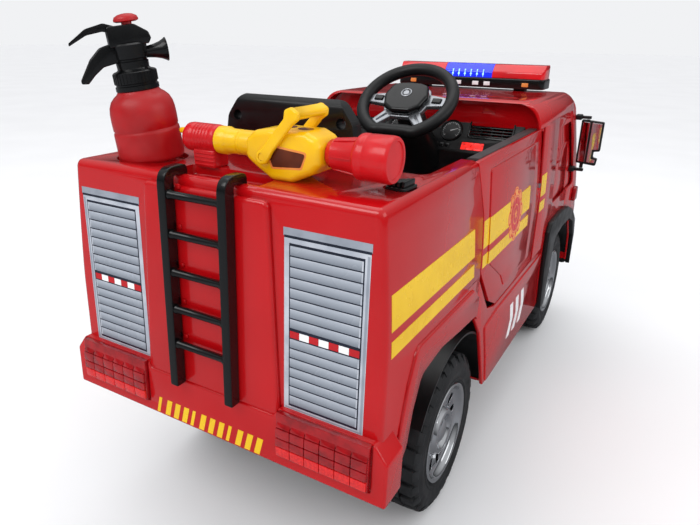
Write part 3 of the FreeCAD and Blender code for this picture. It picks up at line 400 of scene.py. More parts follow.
socket_boss = extruded("socket_boss", disc(51 * mm, socket_x, socket_y), "Z", deck - 20 * mm, deck - mm)
weld(rear_body, trough_boss, socket_boss)
clip_recess = filleted([(-0.508, -0.216), (-0.470, -0.216), (-0.462, -0.184), (-0.500, -0.180)], 14 * mm)
clip_boss = extruded("clip_boss", filleted([(-0.512, -0.2165), (-0.460, -0.2165), (-0.456, -0.178),
    (-0.504, -0.174)], 14 * mm), "Z", deck - 12 * mm, deck - mm)
weld(rear_body, clip_boss)
carve(rear_body, extruded("trough", trough_box, "Z", deck - 12 * mm, deck + 20 * mm, 2.5 * mm),
    extruded("socket", disc(47 * mm, socket_x, socket_y), "Z", deck - 10 * mm, deck + 20 * mm, 2 * mm),
    extruded("clip_hole", clip_recess, "Z", deck - 5 * mm, deck + 20 * mm, 1.5 * mm))
cockpit = filleted([(-0.412, -0.200, 18 * mm), (-0.2, -0.200, 0), (-0.2, 0.200, 0),
    (-0.412, 0.200, 18 * mm)], 0)
carve(rear_body, extruded("cockpit", cockpit, "Z", 0.1, deck + 20 * mm))
for cutter in both_sides("arch_cut", arch_line, 0.13, 0.27):
    carve(rear_body, cutter)
door_edge = [(-0.284, 0.560), (-0.284, 0.543), (-0.255, 0.465), (-0.240, 0.465), (-0.240, 0.560)]
carve(rear_body, extruded("door_edge", door_edge, "Y", -0.26, 0.26))
bulkhead = extruded("bulkhead", oblong(-0.219, 0.219, 0.330, deck - wall), "X", -0.416, -0.412)
weld(rear_body, bulkhead)
fit(rear_body, "truck", gloss_red, ["rear_body_shell"], 38, 0.8 * mm)


# Wheel-house liners: black vacuum-formed tubs behind the arches that hide the frame.
# Matt polypropylene with a fine spark-eroded grain.
satin_black, black_tree, black_shader = surface("grained_black_pp", "#0D0E0F", 0.38, IOR=1.49)
vary(black_tree, black_shader, "Roughness", 0.30, 0.44, 30 * mm)
grain(black_tree, black_shader, 0.9 * mm, 0.03 * mm)

for end, centre_x, low_x, high_x, first, last in (("rear", -0.304, -0.470, -0.150, 6, 148),
                                                  ("front", 0.438, 0.276, 0.590, 12, 168)):
    for side, sign in (("right", -1), ("left", 1)):
        arc = []
        for step in range(25):
            angle = math.radians(first + (last - first) * step / 24)
            x = centre_x + 0.156 * math.cos(angle)
            arc.append((min(max(x, low_x), high_x), 0.125 + 0.158 * math.sin(angle)))
        inner = [((x - centre_x) * 1.02 + centre_x, 0.125 + (z - 0.125) * 1.02) for x, z in reversed(arc)]
        depth = (0.098, 0.231) if end == "front" else (0.138, 0.231)
        roof = extruded(f"{end}_liner_{side}", arc + inner, "Y", min(sign * depth[0], sign * depth[1]),
            max(sign * depth[0], sign * depth[1]))
        fit(roof, "truck", satin_black)


# Rear skirt: a separate red ABS valance screwed under the tail. It stands proud of the body, steps up
# beside the lamps and has a soft rolled top edge.
skirt_low, skirt_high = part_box("rear_skirt")
skirt_half = skirt_high.y
skirt_outline = [(-skirt_half, skirt_low.z, 4 * mm), (skirt_half, skirt_low.z, 4 * mm),
    (skirt_half, 0.262, 8 * mm), (0.233, 0.2835, 8 * mm), (0.106, 0.2835, 5 * mm), (0.100, 0.2735, 5 * mm),
    (-0.100, 0.2735, 5 * mm), (-0.106, 0.2835, 5 * mm), (-0.233, 0.2835, 8 * mm),
    (-skirt_half, 0.262, 8 * mm)]
skirt = extruded("skirt", filleted(skirt_outline, 5 * mm), "X", skirt_low.x, skirt_high.x, 5 * mm, 5)
carve(skirt, extruded("skirt_inside", oblong(-0.2355, 0.2355, 0.1, 0.2785), "X", skirt_low.x + 4.5 * mm,
    -0.5))
for cutter in both_sides("skirt_arch", arch_line, 0.13, 0.27):
    carve(skirt, cutter)
for side, sign in (("right", -1), ("left", 1)):
    window = filleted([(sign * 0.105, 0.2195), (sign * 0.232, 0.2195), (sign * 0.232, 0.290, 0),
        (sign * 0.105, 0.290, 0)], 4 * mm)
    carve(skirt, extruded(f"lamp_window_{side}", window, "X", -0.60, skirt_low.x + 3 * mm))
fit(skirt, "truck", gloss_red, ["rear_skirt"], 38, 0.7 * mm)


# Skirt marking: a row of slanted warning bars, cut from self-adhesive yellow vinyl.
# Plain bars stand where such toys carry lettering.
yellow_film, film_tree, film_shader = surface("yellow_vinyl_film", "#EBBE12", 0.26, IOR=1.5)
vary(film_tree, film_shader, "Base Color", "#E6B80C", "#F0C41A", 60 * mm)
vary(film_tree, film_shader, "Roughness", 0.2, 0.32, 25 * mm)
grain(film_tree, film_shader, 6 * mm, 0.02 * mm)


def merged(name, pieces):
    """Join pieces into one object without touching their shapes."""
    work = bmesh.new()
    for piece in pieces:
        work.from_mesh(piece.data)
        bpy.data.objects.remove(piece)
    data = bpy.data.meshes.new(name)
    work.to_mesh(data)
    work.free()
    made = bpy.data.objects.new(name, data)
    bpy.context.scene.collection.objects.link(made)
    return made


bars = []
for index in range(12):
    start = 0.094 - index * 15 * mm
    wide = 8.5 * mm if index % 4 else 5 * mm
    corners = [(start, 0.2085), (start - wide, 0.2085), (start - wide - 6 * mm, 0.2325),
        (start - 6 * mm, 0.2325)]
    bars.append(extruded(f"bar_{index}", corners, "X", skirt_low.x - 0.25 * mm, skirt_low.x + 0.3 * mm))
fit(merged("skirt_bars", bars), "truck", yellow_film)


# Tail lamps: moulded dummy lenses in clear red styrene over a red tray, held by hidden screws.
# Six columns of ribbed tiles, sloping over the top of the skirt, with a brighter reflector row below.
lamp_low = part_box("tail_lamps")[0]
clear_red, lens_tree, lens_shader = surface("clear_red_styrene", "#A80D15", 0.07, IOR=1.59)
lens_shader.inputs["Transmission Weight"].default_value = 0.25
lens_shader.inputs["Coat Weight"].default_value = 0.8
vary(lens_tree, lens_shader, "Base Color", "#960A12", "#B81019", 14 * mm)
grain(lens_tree, lens_shader, 2.5 * mm, 0.04 * mm)
reflector_red, reflector_tree, reflector_shader = surface("prismatic_red_reflector", "#D8141A", 0.16,
    IOR=1.59)
reflector_shader.inputs["Coat Weight"].default_value = 0.8
vary(reflector_tree, reflector_shader, "Base Color", "#C9121A", "#E2231F", 3 * mm)
grain(reflector_tree, reflector_shader, 1.2 * mm, 0.12 * mm)

face_x = lamp_low.x
lens_rows = [("top", [(face_x + 0.3 * mm, 0.2645), (face_x + 10 * mm, 0.2815), (face_x + 15 * mm, 0.2815),
    (face_x + 8 * mm, 0.2645)]), ("upper", [(face_x, 0.2505), (face_x, 0.2635), (face_x + 8 * mm, 0.2635),
    (face_x + 8 * mm, 0.2505)]), ("middle", [(face_x, 0.2385), (face_x, 0.2495), (face_x + 8 * mm, 0.2495),
    (face_x + 8 * mm, 0.2385)]), ("low", [(face_x + mm, 0.2245), (face_x, 0.2375),
    (face_x + 8 * mm, 0.2375), (face_x + 8 * mm, 0.2245)])]
for side, sign in (("right", -1), ("left", 1)):
    tiles, reflectors = [], []
    for column in range(6):
        low_y = 0.1085 + column * 20.1 * mm
        for row, section in lens_rows:
            edges = sorted((sign * low_y, sign * (low_y + 19.5 * mm)))
            tile = extruded(f"tile_{row}_{column}", section, "Y", edges[0], edges[1], 1.1 * mm, 2)
            (reflectors if row == "low" else tiles).append(tile)
    edges = sorted((sign * 0.1075, sign * 0.2295))
    tiles.append(extruded("lamp_tray", filleted([(edges[0], 0.222), (edges[1], 0.222), (edges[1], 0.2825),
        (edges[0], 0.2825)], 2 * mm), "X", -0.5945, -0.583, 0.8 * mm, 2))
    fit(merged(f"tail_lens_{side}", tiles), "truck", clear_red, ["tail_lamps"])
    fit(merged(f"tail_reflector_{side}", reflectors), "truck", reflector_red)


# Shutter stickers: printed roller-shutter pictures on glossy film, one each side of the ladder.
# The print is built up as thin slats, so its light and dark lines hold at any distance.
shutter_rows, row_pitch, row_base = 16, 12.35 * mm, 289.5 * mm


def printed_film(name, dark, light, pitch, base):
    """Film whose printed grey runs from light at the top of each slat to dark at its foot."""
    film, tree, shader = surface(name, light, 0.24, IOR=1.5)
    where = add_node(tree, "ShaderNodeTexCoord")
    axes = add_node(tree, "ShaderNodeSeparateXYZ", None, {0: (where, "Object")})
    lifted = add_node(tree, "ShaderNodeMath", {"operation": "SUBTRACT"}, {0: (axes, 2), 1: base})
    rows = add_node(tree, "ShaderNodeMath", {"operation": "DIVIDE"}, {0: (lifted, 0), 1: pitch})
    share = add_node(tree, "ShaderNodeMath", {"operation": "FRACT"}, {0: (rows, 0)})
    ramp = add_node(tree, "ShaderNodeValToRGB", None, {0: (share, 0)})
    ramp.color_ramp.elements[0].position = 0.05
    ramp.color_ramp.elements[0].color = paint(dark)
    ramp.color_ramp.elements[1].position = 0.92
    ramp.color_ramp.elements[1].color = paint(light)
    tree.links.new(ramp.outputs[0], shader.inputs["Base Color"])
    vary(tree, shader, "Roughness", 0.2, 0.3, 30 * mm)
    grain(tree, shader, 8 * mm, 0.02 * mm)
    return film


def plain_film(name, low, high):
    film, tree, shader = surface(name, low, 0.26, IOR=1.5)
    vary(tree, shader, "Base Color", low, high, 25 * mm)
    grain(tree, shader, 7 * mm, 0.02 * mm)
    return film


slat_film = printed_film("printed_shutter_film", "#6F7681", "#A9B0BA", row_pitch, row_base)
frame_film = plain_film("printed_frame_film", "#A7ADB8", "#C0C5CE")
shade_film = plain_film("printed_shadow_film", "#8A909B", "#979DA8")
ink_film = plain_film("printed_navy_line", "#151C2B", "#1B2233")
red_film = plain_film("printed_red_film", "#B5121B", "#C2161F")
white_film = plain_film("white_vinyl_film", "#EDEEF0", "#F7F7F8")


def on_tail(name, y0, y1, z0, z1, lift, sign):
    """A thin rectangle of film on the flat of the tail, its top lifted a hair."""
    low_y, high_y = sorted((sign * y0, sign * y1))
    outline = oblong(low_y, high_y, z0, z1)
    return extruded(name, outline, "X", rear_face - lift, rear_face + 0.2 * mm)


for side, sign in (("right", -1), ("left", 1)):
    fit(on_tail("sheet", 0.1095, 0.2135, 0.2835, 0.4965, 0.20 * mm, sign), "truck", frame_film)
    fit(on_tail("header", 0.1085, 0.2145, 0.4975, 0.5070, 0.30 * mm, sign), "truck", shade_film)
    lines = [on_tail("gap", 0.1095, 0.2140, 0.4955, 0.4985, 0.32 * mm, sign),
        on_tail("field", 0.1160, 0.2070, 0.2880, 0.4900, 0.28 * mm, sign)]
    fit(merged(f"shutter_lines_{side}", lines), "truck", ink_film)
    shades = [on_tail("shade_edge", 0.2095, 0.2125, 0.2860, 0.4930, 0.26 * mm, sign),
        on_tail("shade_foot", 0.1115, 0.2125, 0.2842, 0.2862, 0.26 * mm, sign)]
    fit(merged(f"shutter_shades_{side}", shades), "truck", shade_film)
    slats, ends, squares = [], [], {0: [], 1: []}
    for row in range(shutter_rows):
        z = row_base + row * row_pitch
        if row == 7:
            for index in range(7):
                y0 = 0.1175 + index * 12.57 * mm
                squares[index % 2].append(on_tail(f"square_{index}", y0, y0 + 12.4 * mm, z + 1.6 * mm,
                    z + 10 * mm, 0.5 * mm, sign))
            continue
        slats.append(on_tail(f"slat_{row}", 0.1175, 0.2035, z + 1.5 * mm, z + row_pitch, 0.55 * mm, sign))
        ends.append(on_tail(f"end_{row}", 0.2037, 0.2055, z + 1.5 * mm, z + row_pitch, 0.6 * mm, sign))
        ends.append(on_tail(f"shine_{row}", 0.1175, 0.2035, z + row_pitch - 0.9 * mm, z + row_pitch,
            0.62 * mm, sign))
    fit(merged(f"shutter_slats_{side}", slats), "truck", slat_film)
    fit(merged(f"shutter_ends_{side}", ends), "truck", frame_film)
    fit(merged(f"shutter_red_{side}", squares[0]), "truck", red_film)
    fit(merged(f"shutter_white_{side}", squares[1]), "truck", white_film)


# Ladder: black ABS, two rails of rounded box section whose tops hook over the deck into its trough,
# and five round rungs with collars. It lifts off by hand in the real toy.
ladder_low, ladder_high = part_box("ladder")
rail_half, rail_y = 6 * mm, ladder_high.y - 6 * mm
hook_x = ladder_high.x
glossy_black, gloss_tree, gloss_shader = surface("moulded_black_abs", "#0B0C0D", 0.2, IOR=1.53)
vary(gloss_tree, gloss_shader, "Roughness", 0.14, 0.27, 35 * mm)
grain(gloss_tree, gloss_shader, 5 * mm, 0.04 * mm)

rail_back, rail_front = ladder_low.x, ladder_low.x + 17.3 * mm
rail_outline = filleted([(rail_back + mm, ladder_low.z, 3 * mm), (rail_front, ladder_low.z, 3 * mm),
    (rail_front, 0.5445, 4 * mm), (hook_x - 9 * mm, 0.5445, 2 * mm), (hook_x - 7 * mm, 0.5340, 2 * mm),
    (hook_x, 0.5340, 2 * mm), (hook_x, ladder_high.z, 9 * mm), (rail_back, ladder_high.z, 30 * mm)], 3 * mm,
    7)
rails = [extruded(f"rail_{sign}", rail_outline, "Y", sign * rail_y - rail_half, sign * rail_y + rail_half,
    2.2 * mm, 4) for sign in (-1, 1)]


def lathe(name, profile, count=48):
    """A solid of revolution about Z from (radius, z) points, closed where they touch the axis."""
    points, faces = [], []
    for radius, z in profile:
        for i in range(count):
            angle = 2 * math.pi * i / count
            points.append((radius * math.cos(angle), radius * math.sin(angle), z))
    rings = len(profile)
    closed = profile[0][0] > 1e-7 or profile[-1][0] > 1e-7
    for ring in range(rings if closed else rings - 1):
        below, above = ring * count, (ring + 1) % rings * count
        faces += [(below + i, below + (i + 1) % count, above + (i + 1) % count,
            above + i) for i in range(count)]
    made = new_piece(name, points, faces)

    def tidy(work):
        bmesh.ops.remove_doubles(work, verts=work.verts, dist=0.001 * mm)
    return reshape(made, tidy)


def moved(piece, matrix):
    """Carry the mesh itself, so that the object keeps the shared origin."""
    piece.data.transform(matrix)
    return piece


def aimed(where, direction, twist=0.0):
    """Matrix that carries +Z at the origin to the given direction at the given place."""
    turn = Vector(direction).to_track_quat("Z", "Y").to_matrix().to_4x4()
    return Matrix.Translation(where) @ turn @ Matrix.Rotation(twist, 4, "Z")


rungs = []
for step in range(5):
    half = rail_y - rail_half + 0.5 * mm
    shape = [(0, -half), (6 * mm, -half), (6 * mm, -half + 3 * mm), (4.7 * mm, -half + 5 * mm),
        (4.7 * mm, half - 5 * mm), (6 * mm, half - 3 * mm), (6 * mm, half), (0, half)]
    rungs.append(moved(lathe(f"rung_{step}", shape, 32), aimed((rail_back + 8 * mm, 0,
        0.332 + 48.25 * mm * step), (0, 1, 0))))
fit(merged("ladder_rails_and_rungs", rails + rungs), "truck", glossy_black, ["ladder"], 40)

# Ladder seats: faint ribs and lugs moulded in the raised panel, one set behind each rung.
lugs = []
for step in range(5):
    z = 0.332 + 48.25 * mm * step
    lugs.append(extruded(f"rib_{step}", oblong(-0.026, 0.026, z - 7 * mm, z - 4.5 * mm), "X",
        shell_low.x - 0.9 * mm, shell_low.x + mm, 0.8 * mm, 2))
    lugs.append(extruded(f"lug_{step}", oblong(0.030, 0.036, z + 5 * mm, z + 11 * mm), "X",
        shell_low.x - 2.4 * mm, shell_low.x + mm, 0.8 * mm, 2))
fit(merged("ladder_seats", lugs), "truck", gloss_red)


# Side stripes: two bands of yellow vinyl along each flank, the upper one deeper, cut at the door gaps.
def skin(name, outline, sign, lift=0.3 * mm, base=0.0, half=body_half):
    """A thin film with an (x, z) outline, laid on the flank and following its curve."""
    work = bmesh.new()
    verts = [work.verts.new((x, 0, z)) for x, z in outline]
    work.faces.new(verts)
    levels = [z for _, z in outline]
    z = math.floor(min(levels) / (9 * mm)) * 9 * mm
    while z < max(levels):
        bmesh.ops.bisect_plane(work, geom=work.verts[:] + work.edges[:] + work.faces[:], plane_co=(0, 0, z),
            plane_no=(0, 0, 1))
        z += 9 * mm
    bmesh.ops.triangulate(work, faces=work.faces)
    shell = bmesh.ops.extrude_face_region(work, geom=work.faces[:])
    inner = [v for v in shell["geom"] if isinstance(v, bmesh.types.BMVert)]
    for vert in work.verts:
        vert.co.y = sign * (half(vert.co.z) + base + lift)
    for vert in inner:
        vert.co.y -= sign * (lift + 0.4 * mm)
    bmesh.ops.recalc_face_normals(work, faces=work.faces)
    data = bpy.data.meshes.new(name)
    work.to_mesh(data)
    work.free()
    made = bpy.data.objects.new(name, data)
    bpy.context.scene.collection.objects.link(made)
    return made


upper_band, lower_band = (0.4095, 0.4510), (0.3790, 0.3985)


def band(x0, x1, levels, slant=0.0):
    low, high = levels
    return [(x0, low), (x1, low), (x1 + slant, high), (x0, high)]


for side, sign in (("right", -1), ("left", 1)):
    quarter = [skin("quarter_upper", band(-0.566, -0.288, upper_band, -4 * mm), sign),
        skin("quarter_lower", band(-0.566, -0.286, lower_band, -2 * mm), sign)]
    fit(merged(f"quarter_stripes_{side}", quarter), "truck", yellow_film)


# Sills: red ABS side panels under the doors, running from the rear arch to the front one.
# A stepped edge along the top meets the door; the foot turns in.
sill_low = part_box("sill_right")[0]
sill_outline = filleted([(-0.159, sill_low.z, 0), (-0.185, 0.194), (-0.218, 0.262), (-0.2545, 0.300, 0),
    (-0.2545, 0.364, 0), (-0.188, 0.293), (-0.145, 0.281, 0), (0.212, 0.281, 0), (0.212, 0.231, 0),
    (0.231, sill_low.z, 0)], 8 * mm)
for side, sign in (("right", -1), ("left", 1)):
    edges = sorted((sign * (waist_half - 6 * mm), sign * waist_half))
    panel = extruded(f"sill_{side}", sill_outline, "Y", edges[0], edges[1], 1.6 * mm, 3)
    edges = sorted((sign * (waist_half - 2 * mm), sign * (waist_half + 2.2 * mm)))
    swell = filleted([(-0.150, 0.140), (0.222, 0.140), (0.205, 0.224), (0.205, 0.270), (-0.128, 0.270),
        (-0.196, 0.262), (-0.168, 0.196)], 8 * mm)
    weld(panel, extruded("sill_swell", swell, "Y", edges[0], edges[1], 1.8 * mm, 3))
    edges = sorted((sign * (waist_half - 30 * mm), sign * (waist_half - 3 * mm)))
    weld(panel, extruded("sill_foot", [(-0.150, 0.1385), (0.224, 0.1385), (0.224, 0.143), (-0.152, 0.143)],
        "Y", edges[0], edges[1]))
    fit(panel, "truck", gloss_red, [f"sill_{side}"], 38)
    chevrons = []
    for index in range(3):
        x = -0.033 + index * 40 * mm
        arrow = [(x, 0.172), (x + 20 * mm, 0.172), (x + 34 * mm, 0.206), (x + 20 * mm, 0.240), (x, 0.240),
            (x + 14 * mm, 0.206)]
        edges = sorted((sign * (waist_half + 1.5 * mm), sign * (waist_half + 2.5 * mm)))
        chevrons.append(extruded(f"chevron_{index}", arrow, "Y", edges[0], edges[1]))
    fit(merged(f"sill_chevrons_{side}", chevrons), "truck", white_film)


# Doors: red ABS skins hung on pins at the front edge, each with a shallow raised panel, a rolled gap
# at the back and a dark grey liner clipped inside.
door_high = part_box("door_right")[1]
door_skin_outline = filleted([(-0.143, 0.2845, 5 * mm), (0.1035, 0.2845, 3 * mm),
    (0.1035, door_high.z, 4 * mm), (-0.281, door_high.z, 3 * mm), (-0.2505, 0.462), (-0.2515, 0.374),
    (-0.184, 0.3035)], 14 * mm)
relief_outline = filleted([(-0.105, 0.3050, 3 * mm), (0.044, 0.3050, 9 * mm), (0.044, 0.3900, 4 * mm),
    (0.052, 0.4600), (0.052, 0.5220, 8 * mm), (-0.222, 0.5220, 8 * mm), (-0.222, 0.3820), (-0.130, 0.3300)],
    12 * mm)
liner_grey, liner_tree, liner_shader = surface("grained_grey_pp", "#3A3233", 0.5, IOR=1.49)
vary(liner_tree, liner_shader, "Base Color", "#352D2E", "#413839", 40 * mm)
grain(liner_tree, liner_shader, 1.1 * mm, 0.05 * mm)


def flank_slab(name, outline, sign, inner, outer, edge):
    """A slab with an (x, z) outline whose faces follow the flank between two depths."""
    work = bmesh.new()
    count = len(outline)
    verts = [work.verts.new((x, 0, z)) for x, z in outline]
    face = work.faces.new(verts)
    shell = bmesh.ops.extrude_face_region(work, geom=[face])
    inside = {v for v in shell["geom"] if isinstance(v, bmesh.types.BMVert)}
    for vert in work.verts:
        vert.co.y = -1.0 if vert in inside else 0.0
    levels = [z for _, z in outline]
    z = math.floor(min(levels) / (20 * mm)) * 20 * mm
    while z < max(levels):
        bmesh.ops.bisect_plane(work, geom=work.verts[:] + work.edges[:] + work.faces[:], plane_co=(0, 0, z),
            plane_no=(0, 0, 1))
        z += 20 * mm
    for vert in work.verts:
        depth = inner if vert.co.y < -0.5 else outer
        vert.co.y = sign * (body_half(vert.co.z) + depth)
    bmesh.ops.recalc_face_normals(work, faces=work.faces)
    data = bpy.data.meshes.new(name)
    work.to_mesh(data)
    work.free()
    made = bpy.data.objects.new(name, data)
    bpy.context.scene.collection.objects.link(made)
    return soften(made, edge, 3, 50) if edge else made


for side, sign in (("right", -1), ("left", 1)):
    panel = flank_slab(f"door_panel_{side}", door_skin_outline, sign, -6 * mm, 0.0, 1.5 * mm)
    weld(panel, flank_slab("door_relief", relief_outline, sign, -3 * mm, 1.6 * mm, 1.2 * mm))
    knuckles = []
    for low in (0.300, 0.400):
        arm = extruded("arm", oblong(0.088, 0.110, sign * 0.2265, sign * 0.2300), "Z", low, low + 30 * mm)
        barrel = moved(lathe("barrel", oblong(0, 6 * mm, 0, 30 * mm), 24),
            Matrix.Translation((0.110, sign * 0.228, low)))
        knuckles += [arm, barrel]
    fit(merged(f"door_skin_{side}", [panel] + knuckles), f"door_{side}", gloss_red,
        [f"door_{side}"], 38)
    stripes = [skin("door_upper", band(-0.2475, 0.024, upper_band), sign),
        skin("door_lower", band(-0.2475, 0.020, lower_band), sign)]
    raised_part = [skin("door_upper_panel", band(-0.222, 0.024, upper_band), sign, 0.3 * mm, 1.6 * mm),
        skin("door_lower_panel", band(-0.222, 0.020, lower_band), sign, 0.3 * mm, 1.6 * mm)]
    fit(merged(f"door_stripes_{side}", stripes + raised_part), f"door_{side}", yellow_film)

# Door badges: a printed rosette on each door, plain rings and petals in orange and red line work.
badge_orange = plain_film("printed_orange_film", "#E8853A", "#F09A4C")
badge_red = plain_film("printed_deep_red_film", "#C4262A", "#D03A38")
badge_x, badge_z = -0.075, 0.422


def petal_ring(radius, dent, count):
    """A rosette outline with the given number of rounded lobes."""
    ring = []
    for i in range(count * 10):
        angle = 2 * math.pi * i / (count * 10)
        reach = radius - dent * (0.5 - 0.5 * math.cos(count * angle)) ** 2
        ring.append((badge_x + reach * math.sin(angle), badge_z + reach * math.cos(angle)))
    return ring


for side, sign in (("right", -1), ("left", 1)):
    for step, (radius, film) in enumerate(((46, badge_orange), (44, badge_red), (42.3, badge_orange),
                                           (32, badge_red), (30.5, badge_orange), (29, badge_red),
                                           (17, badge_orange), (15.4, badge_red), (8, badge_orange))):
        lobes, dent = (8, radius * 0.14 * mm) if step < 3 else (8, 0)
        if step == 8:
            lobes, dent = 5, 5 * mm
        outline = petal_ring(radius * mm, dent, lobes)
        layer = skin(f"badge_{step}_{side}", outline, sign, 0.42 * mm + step * 0.05 * mm, 1.6 * mm)
        fit(layer, f"door_{side}", film)
    ticks = []
    for index in range(24):
        angle = math.radians(15 * index)
        low, high = (34.5 * mm, 39 * mm) if index % 3 else (19 * mm, 27.5 * mm)
        across = 1.3 * mm
        radial, tangent = Vector((math.sin(angle), math.cos(angle))), Vector((math.cos(angle),
            -math.sin(angle)))
        centre = Vector((badge_x, badge_z))
        ticks.append(skin(f"tick_{index}", [tuple(centre + radial * low - tangent * across),
            tuple(centre + radial * low + tangent * across),
            tuple(centre + radial * high + tangent * across),
            tuple(centre + radial * high - tangent * across)], sign, 0.95 * mm, 1.6 * mm))
    fit(merged(f"badge_ticks_{side}", ticks), f"door_{side}", badge_red)


# Door liners: dark grey grained channel closing the top and the inside of each door.
for side, sign in (("right", -1), ("left", 1)):
    section = filleted([(sign * 0.2185, 0.5425), (sign * 0.2000, 0.5425, 6 * mm),
        (sign * 0.2000, 0.306, 4 * mm), (sign * 0.2295, 0.306, 0), (sign * 0.2295, 0.3095, 0),
        (sign * 0.2035, 0.3095), (sign * 0.2035, 0.5370), (sign * 0.2185, 0.5370, 0)], 2 * mm)
    liner = extruded(f"door_liner_{side}", section, "X", -0.2615, 0.0895, 1.0 * mm, 2)
    waste = [(-0.310, 0.290), (-0.130, 0.290), (-0.172, 0.314), (-0.240, 0.386), (-0.238, 0.462),
        (-0.2635, 0.530), (-0.2635, 0.560), (-0.310, 0.560)]
    edges = sorted((sign * 0.15, sign * 0.26))
    carve(liner, extruded("liner_waste", waste, "Y", edges[0], edges[1]))
    edges = sorted((sign * 0.1985, sign * 0.2005))
    pocket_outline = filleted([(-0.200, 0.380), (0.060, 0.350), (0.060, 0.450), (-0.200, 0.450)], 14 * mm)
    carve(liner, extruded("liner_pocket", pocket_outline, "Y", edges[0], edges[1], 0.4 * mm, 1))
    fit(liner, f"door_{side}", liner_grey, [f"door_trim_{side}"], 38)


# Front cab shell: red ABS again. A rounded hoop stands behind the roof; the sides are let in behind it
# for the window area; roof, screen slope and nose are one skin.
cab_low, cab_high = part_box("front_cab_shell")
roof = cab_high.z
cab_rear = cab_low.x
front_face = cab_high.x
cab_side = filleted([(cab_rear, cab_low.z, 0), (cab_rear, roof, 14 * mm), (0.405, 0.586, 26 * mm),
    (0.527, 0.389, 30 * mm), (0.552, 0.348, 20 * mm), (0.588, 0.290, 16 * mm), (front_face, 0.250, 10 * mm),
    (front_face, cab_low.z, 0)], 10 * mm, 7)


def cab_half(z):
    """Half-width of the cab's flank below the shoulders."""
    return waist_half - 8 * mm * (max(z - 0.380, 0) / 0.160) ** 1.3


def cab_ring(inset, low):
    """Section of the cab with wide round shoulders, trimmed inwards by inset."""
    half, top = waist_half - inset, roof - inset
    right = [(-half, low), (-half, 0.380)]
    for step in range(1, 6):
        z = 0.380 + (0.540 - 0.380) * step / 6
        right.append((inset - cab_half(z), z))
    for step in range(10):
        angle = math.radians(90 * step / 9)
        right.append((-(half - 8 * mm - 44 * mm * (1 - math.cos(angle))),
            top - 48 * mm + 48 * mm * math.sin(angle)))
    return right + [(-y, z) for y, z in reversed(right)]


cab = extruded("cab", cab_side, "Y", -0.24, 0.24)
shared(cab, extruded("cab_ring", cab_ring(0, cab_low.z), "X", cab_rear, front_face))
soften(cab, 5 * mm, 3, 60)
core_side = filleted([(cab_rear - 0.05, cab_low.z - 0.02, 0), (cab_rear - 0.05, roof - wall, 0),
    (0.402, 0.582, 24 * mm), (0.523, 0.387), (0.548, 0.346), (0.584, 0.289), (front_face - wall, 0.250),
    (front_face - wall, cab_low.z - 0.02, 0)], 12 * mm)
core = extruded("cab_core", core_side, "Y", -0.24, 0.24)
shared(core, extruded("cab_core_ring", cab_ring(wall, cab_low.z - 0.03), "X", cab_rear - 0.06, front_face))
carve(cab, core)
carve(cab, extruded("door_space", oblong(cab_rear - 0.01, 0.116, 0.13, 0.544), "Y", -0.26, 0.26))
carve(cab, extruded("sill_space", [(0.07, 0.13), (0.234, 0.13), (0.215, 0.2825), (0.07, 0.2825)], "Y",
    -0.26, 0.26))
front_arch = [(0.272, 0.120, 0), (0.282, 0.196), (0.298, 0.279), (0.374, 0.288), (0.470, 0.284),
    (0.530, 0.262), (0.572, 0.215), (0.587, 0.150), (0.588, 0.120, 0)]
front_arch_line = filleted(front_arch, 24 * mm)
for cutter in both_sides("front_arch_cut", front_arch_line, 0.11, 0.26):
    carve(cab, cutter)
window = filleted([(0.246, 0.368), (0.494, 0.368), (0.470, 0.404), (0.392, 0.549), (0.246, 0.549)], 18 * mm)
for cutter in both_sides("window_recess", window, waist_half - 11 * mm, 0.26, 4 * mm):
    carve(cab, cutter)
for side, sign in (("right", -1), ("left", 1)):
    edges = sorted((sign * 0.2195, sign * 0.2255))
    pane = flank_slab(f"window_wall_{side}", filleted([(0.238, 0.360), (0.506, 0.360), (0.478, 0.406),
        (0.396, 0.556), (0.238, 0.556)], 16 * mm), sign, -15 * mm, -6 * mm, 0)
    weld(cab, pane)
    seam = extruded("seam", oblong(0.409, 0.4105, 0.300, 0.590), "Y", min(sign * 0.2235, sign * 0.26),
        max(sign * 0.2235, sign * 0.26))
    carve(cab, seam)
    groove = oblong(sign * 0.160, sign * 0.1615, roof - 1.0 * mm, roof + 5 * mm)
    carve(cab, extruded("roof_seam", groove, "X", 0.112, 0.398))
header = extruded("header", cab_ring(2 * mm, 0.536), "X", 0.104, 0.109)
carve(header, extruded("header_foot", oblong(-0.3, 0.3, 0.3, 0.5365), "X", 0.09, 0.12))
weld(cab, header)
for sign in (-1, 1):
    recess = filleted(oblong(sign * 0.110, sign * 0.135, 0.561, 0.576), 2 * mm)
    carve(cab, extruded("recess", recess, "X", 0.10, 0.107, 0.5 * mm, 2))
fit(cab, "truck", gloss_red, ["front_cab_shell"], 38, 0.8 * mm)

for side, sign in (("right", -1), ("left", 1)):
    posts = [skin(f"post_{level}", band(0.119, 0.162, span), sign, 0.3 * mm, 0, cab_half) for level,
        span in (("lower", lower_band), ("upper", upper_band))]
    fit(merged(f"post_stripes_{side}", posts), "truck", yellow_film)


# Windscreen: smoked acrylic panel with a black edge, bonded on the sloping front, with two wipers.
smoked, smoked_tree, smoked_shader = surface("smoked_acrylic", "#15181C", 0.05, IOR=1.49)
smoked_shader.inputs["Coat Weight"].default_value = 1.0
vary(smoked_tree, smoked_shader, "Roughness", 0.03, 0.09, 90 * mm)
grain(smoked_tree, smoked_shader, 60 * mm, 0.03 * mm)
slope = Vector((0.527 - 0.405, 0, 0.389 - 0.586)).normalized()
outward = Vector((-slope.z, 0, slope.x))
screen_turn = Matrix((slope, (0, 1, 0), outward)).transposed().to_4x4()
screen_turn.translation = Vector((0.405, 0, 0.586))


